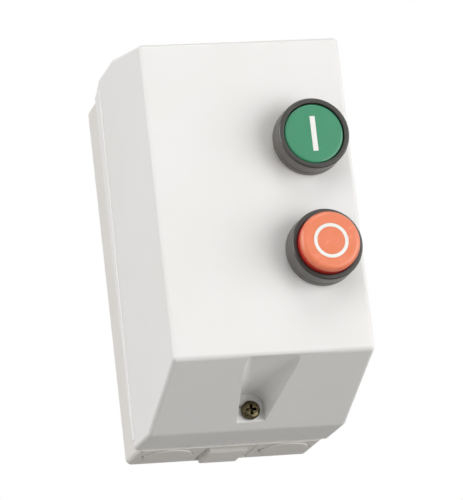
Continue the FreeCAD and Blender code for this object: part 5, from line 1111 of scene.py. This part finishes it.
def wedge(across, up, crown, long, wide, deep, upright):
    """A slot cutter that narrows towards its tip."""
    half = (wide / 2, long / 2) if upright else (long / 2, wide / 2)
    cutter = block("cutter", (across - half[0], across + half[0]), (crown - deep, crown + 1),
                   (up - half[1], up + half[1]))
    edit()
    pick("VERT", lambda spot: spot.y < crown)
    bpy.ops.transform.resize(value=(TAPER, 1, TAPER),
                             center_override=at(across, crown - deep, up))
    edit(False)
    return cutter


def dome(radius, seat, height, steps=6):
    """Rings of a pan head: a short upright rim, then a low curve to the crown."""
    rim = seat + 0.45 * height
    rings = [(radius, seat), (radius, rim)]
    for i in range(1, steps + 1):
        a = math.pi / 2 * i / steps
        rings.append((radius * (0.55 + 0.45 * math.cos(a)), rim + 0.55 * height * math.sin(a)))
    return rings


HEAD, SEAT, HEAD_HEIGHT = 4.0, 60.8, 2.4
screw = turned("cross_screw", 0, SCREW_UP,
               [(1.6, 22.8), (1.95, 23.3), (1.95, SEAT)] + dome(HEAD, SEAT, HEAD_HEIGHT), 64)
combine(screw, *[wedge(0, SCREW_UP, SEAT + HEAD_HEIGHT, 5.0, 1.35, 1.9, upright)
                 for upright in (True, False)], how="DIFFERENCE")
soften(screw, 0.07, 2, 35)
keep(screw, "cover_screw", "yellow_zinc", "cover_screw")
seal = turned("screw_washer", 0, SCREW_UP, washer(2.0, 3.7, 60.0, SEAT), 48, "loop")
soften(seal, 0.15, 2, 30)
keep(seal, "cover_screw", "gasket", "screw_seal")
insert = turned("brass_insert", 0, SCREW_UP, washer(2.07, 2.9, 20.6, 28.6), 48, "loop")
soften(insert, 0.15, 2, 30)
keep(insert, "housing", "brass", "threaded_insert")
print("screw head", 2 * HEAD, "mm across, seat", SEAT, "mm from the wall")

# %% [markdown]
# The terminal screws are all alike: a slotted pan head that presses a wire. One is
# modelled, and each terminal gets a copy with its own mesh, moved to its place. The
# clamp's screws stand as high as what lies under them: a wire, a prong or nothing.

# %% Terminal screws
def slotted(name, head, height, shank, length):
    """A slotted pan-head screw with its seat at the origin."""
    piece = turned(name, 0, 0, [(shank, -length), (shank, 0)] + dome(head, 0, height), 40)
    combine(piece, block("slot", (-head, head), (height - 0.9, height + 1), (-0.4, 0.4)),
            how="DIFFERENCE")
    return soften(piece, 0.1, 2, 35)


def copies(name, model, places):
    """Copy a model to each (across, depth, up), and join the copies into one piece."""
    made = []
    for spot in places:
        alone(model)
        bpy.ops.object.duplicate(linked=False)
        twin = bpy.context.object
        twin.location = at(*spot)
        made.append(twin)
    return joined(made, name)


# depth of the terminal strip, and thickness of a wire, a relay prong and a clamp plate
STRIP, LEAD, PRONG, CLAMP = 59.2, 2.2, 2.0, 1.1
TERMINAL_OFF = 28.5  # how far the terminals lie above and below the contactor's middle
under = {("line", 0): LEAD, ("line", 3): LEAD, ("load", 0): PRONG, ("load", 1): PRONG,
         ("load", 2): PRONG, ("load", 3): LEAD}
long_model = slotted("long_screw", 2.9, 2.2, 1.6, 8.0)
seats = [(across, STRIP + under.get((end, i), 0) + CLAMP, UNIT_UP + TERMINAL_OFF * sign)
         for i, across in enumerate(poles) for end, sign in (("line", 1), ("load", -1))]
keep(copies("clamp_screw_set", long_model, seats), "housing", "zinc", "clamp_screws")
short_model = slotted("short_screw", 2.9, 2.2, 1.6, 1.2)
OUTPUT_STRIP, OUTPUT_UP = 45.2, -50.0
outputs = [(across, OUTPUT_STRIP + (LEAD if i == 3 else 0), OUTPUT_UP)
           for i, across in enumerate(poles)]
keep(copies("output_screw_set", short_model, outputs), "housing", "zinc", "output_screws")
earth_model = slotted("earth_model", 3.4, 2.2, 1.6, 5.0)
keep(copies("earth_screw_set", earth_model, [(EARTH[0], 8.5, EARTH[1])]), "housing",
     "yellow_zinc", "earth_screw")
rail_model = slotted("rail_model", 3.0, 1.8, 1.55, 3.2)
keep(copies("rail_screw_set", rail_model, [(-30, 4, UNIT_UP), (33.2, 4, UNIT_UP)]),
     "housing", "zinc", "rail_screws")
for model in (long_model, short_model, earth_model, rail_model):
    bpy.data.objects.remove(model)
print("pieces", len(pieces))

# %% [markdown]
# ## The devices inside
# Under the cover sit the contactor, the overload relay and the start contact on their
# rail. Their CAD shapes are right in every size, and what they lack is the small
# rounding that a mould or a press leaves on each edge. A copy of each gets it: the
# loose triangles are merged, flat ones are joined into whole faces, and a narrow bevel
# breaks the edges, so that they catch a thin line of light.

# %% Refining a CAD piece
def refined(node, body, slot, width=0.2, angle=40, merge=True):
    """A copy of a CAD node with whole faces and broken edges, which replaces it."""
    source = frame["nodes"][node]
    piece = source.copy()
    piece.data = source.data.copy()
    piece.parent = None
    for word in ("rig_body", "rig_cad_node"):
        if word in piece:
            del piece[word]
    bpy.context.scene.collection.objects.link(piece)
    piece.name = piece.data.name = node + "_piece"
    alone(piece)
    edit()
    weld(0.002)
    if width and merge:
        bpy.ops.mesh.dissolve_limited(angle_limit=math.radians(0.5))
    edit(False)
    if width:
        soften(piece, width, 2, angle)
    else:
        shade(piece, angle)
    return keep(piece, body, slot, node)


print("pieces modelled so far", len(pieces))

# %% [markdown]
# The contactor stands on the rail in two charcoal halves with a pale front. Its core
# and coil pull the armature in, and the black carrier on it presses four bridges on
# the contacts. An amber clip holds the whole to the rail.

# %% Contactor
CONTACTOR = [
    # node, body, slot, width of the broken edge
    ("mounting_rail", "housing", "zinc", 0.12),
    ("contactor_base", "housing", "device_grey", 0.30),
    ("contactor_body", "housing", "device_grey", 0.30),
    ("contactor_front", "housing", "device_light", 0.30),
    ("fixed_core", "housing", "lamination", 0.10),
    ("armature", "armature", "lamination", 0.10),
    ("coil_bobbin", "housing", "bobbin", 0.20),
    ("coil_winding", "housing", "copper", 0.30),
    ("coil_terminals", "housing", "silver_brass", 0.10),
    ("line_contacts", "housing", "silver_brass", 0.10),
    ("load_contacts", "housing", "silver_brass", 0.10),
    ("contact_bridges", "bridges", "silver_brass", 0.10),
    ("contact_carrier", "armature", "carrier", 0.15),
    ("clamp_plates", "housing", "zinc", 0.12),
    ("rail_clip", "rail_clip", "trip", 0.20),
]
for row in CONTACTOR:
    refined(*row)
print("contactor pieces", len(CONTACTOR))

# %% [markdown]
# The relay has its own white cover with a dial for the motor's current, a blue reset
# button and a red stop button, and a clear flap over the dial. Under it lie the
# bimetal strips in their sleeves, and the amber bar that they push to trip.

# %% Relay
RELAY = [
    ("relay_body", "housing", "device_grey", 0.30),
    ("relay_cover", "housing", "device_light", 0.30),
    ("relay_prongs", "housing", "brass", 0.10),
    ("bimetal_strips", "housing", "bimetal", 0.05),
    ("heater_sleeves", "housing", "heater", 0.15),
    ("output_strips", "housing", "silver_brass", 0.10),
    ("trip_bar", "relay_trip", "trip", 0.12),
    ("current_dial", "relay_dial", "dial", 0.12),
    ("reset_button", "relay_reset", "blue", 0.20),
    ("relay_stop", "relay_stop", "relay_red", 0.20),
    ("dial_flap", "relay_flap", "clear", 0.12),
]
for row in RELAY:
    refined(*row)
print("relay pieces", len(RELAY))

# %% [markdown]
# The start contact is a small white block whose green plunger the start rod meets.
# Red wires join the devices. A wire is drawn smooth, with no edge to break. The gasket
# is a closed ring, so its flat faces aren't joined: a joined one would cover the hole.

# %% Start contact, wires, earth plate and gasket
OTHERS = [
    ("start_block", "housing", "device_light", 0.25),
    ("start_block_terminals", "housing", "zinc", 0.08),
    ("start_block_plunger", "start_contact", "green_cap", 0.20),
    ("control_wires", "housing", "wire", 0, 60),
    ("earth_plate", "housing", "brass", 0.15),
]
for row in OTHERS:
    refined(*row)
refined("cover_gasket", "cover", "gasket", 0.30, merge=False)
print("pieces", len(pieces))
print("plain CAD nodes left", [name for name, obj in frame["nodes"].items()
                               if not obj.hide_render])

# %% [markdown]
# The cover's own shading comes last, after all its cuts.

# %% Finish
shade(cover)
cover.name = "front_cover_moulding"
keep(cover, "cover", "cover", "front_cover")
print("pieces", len(pieces))
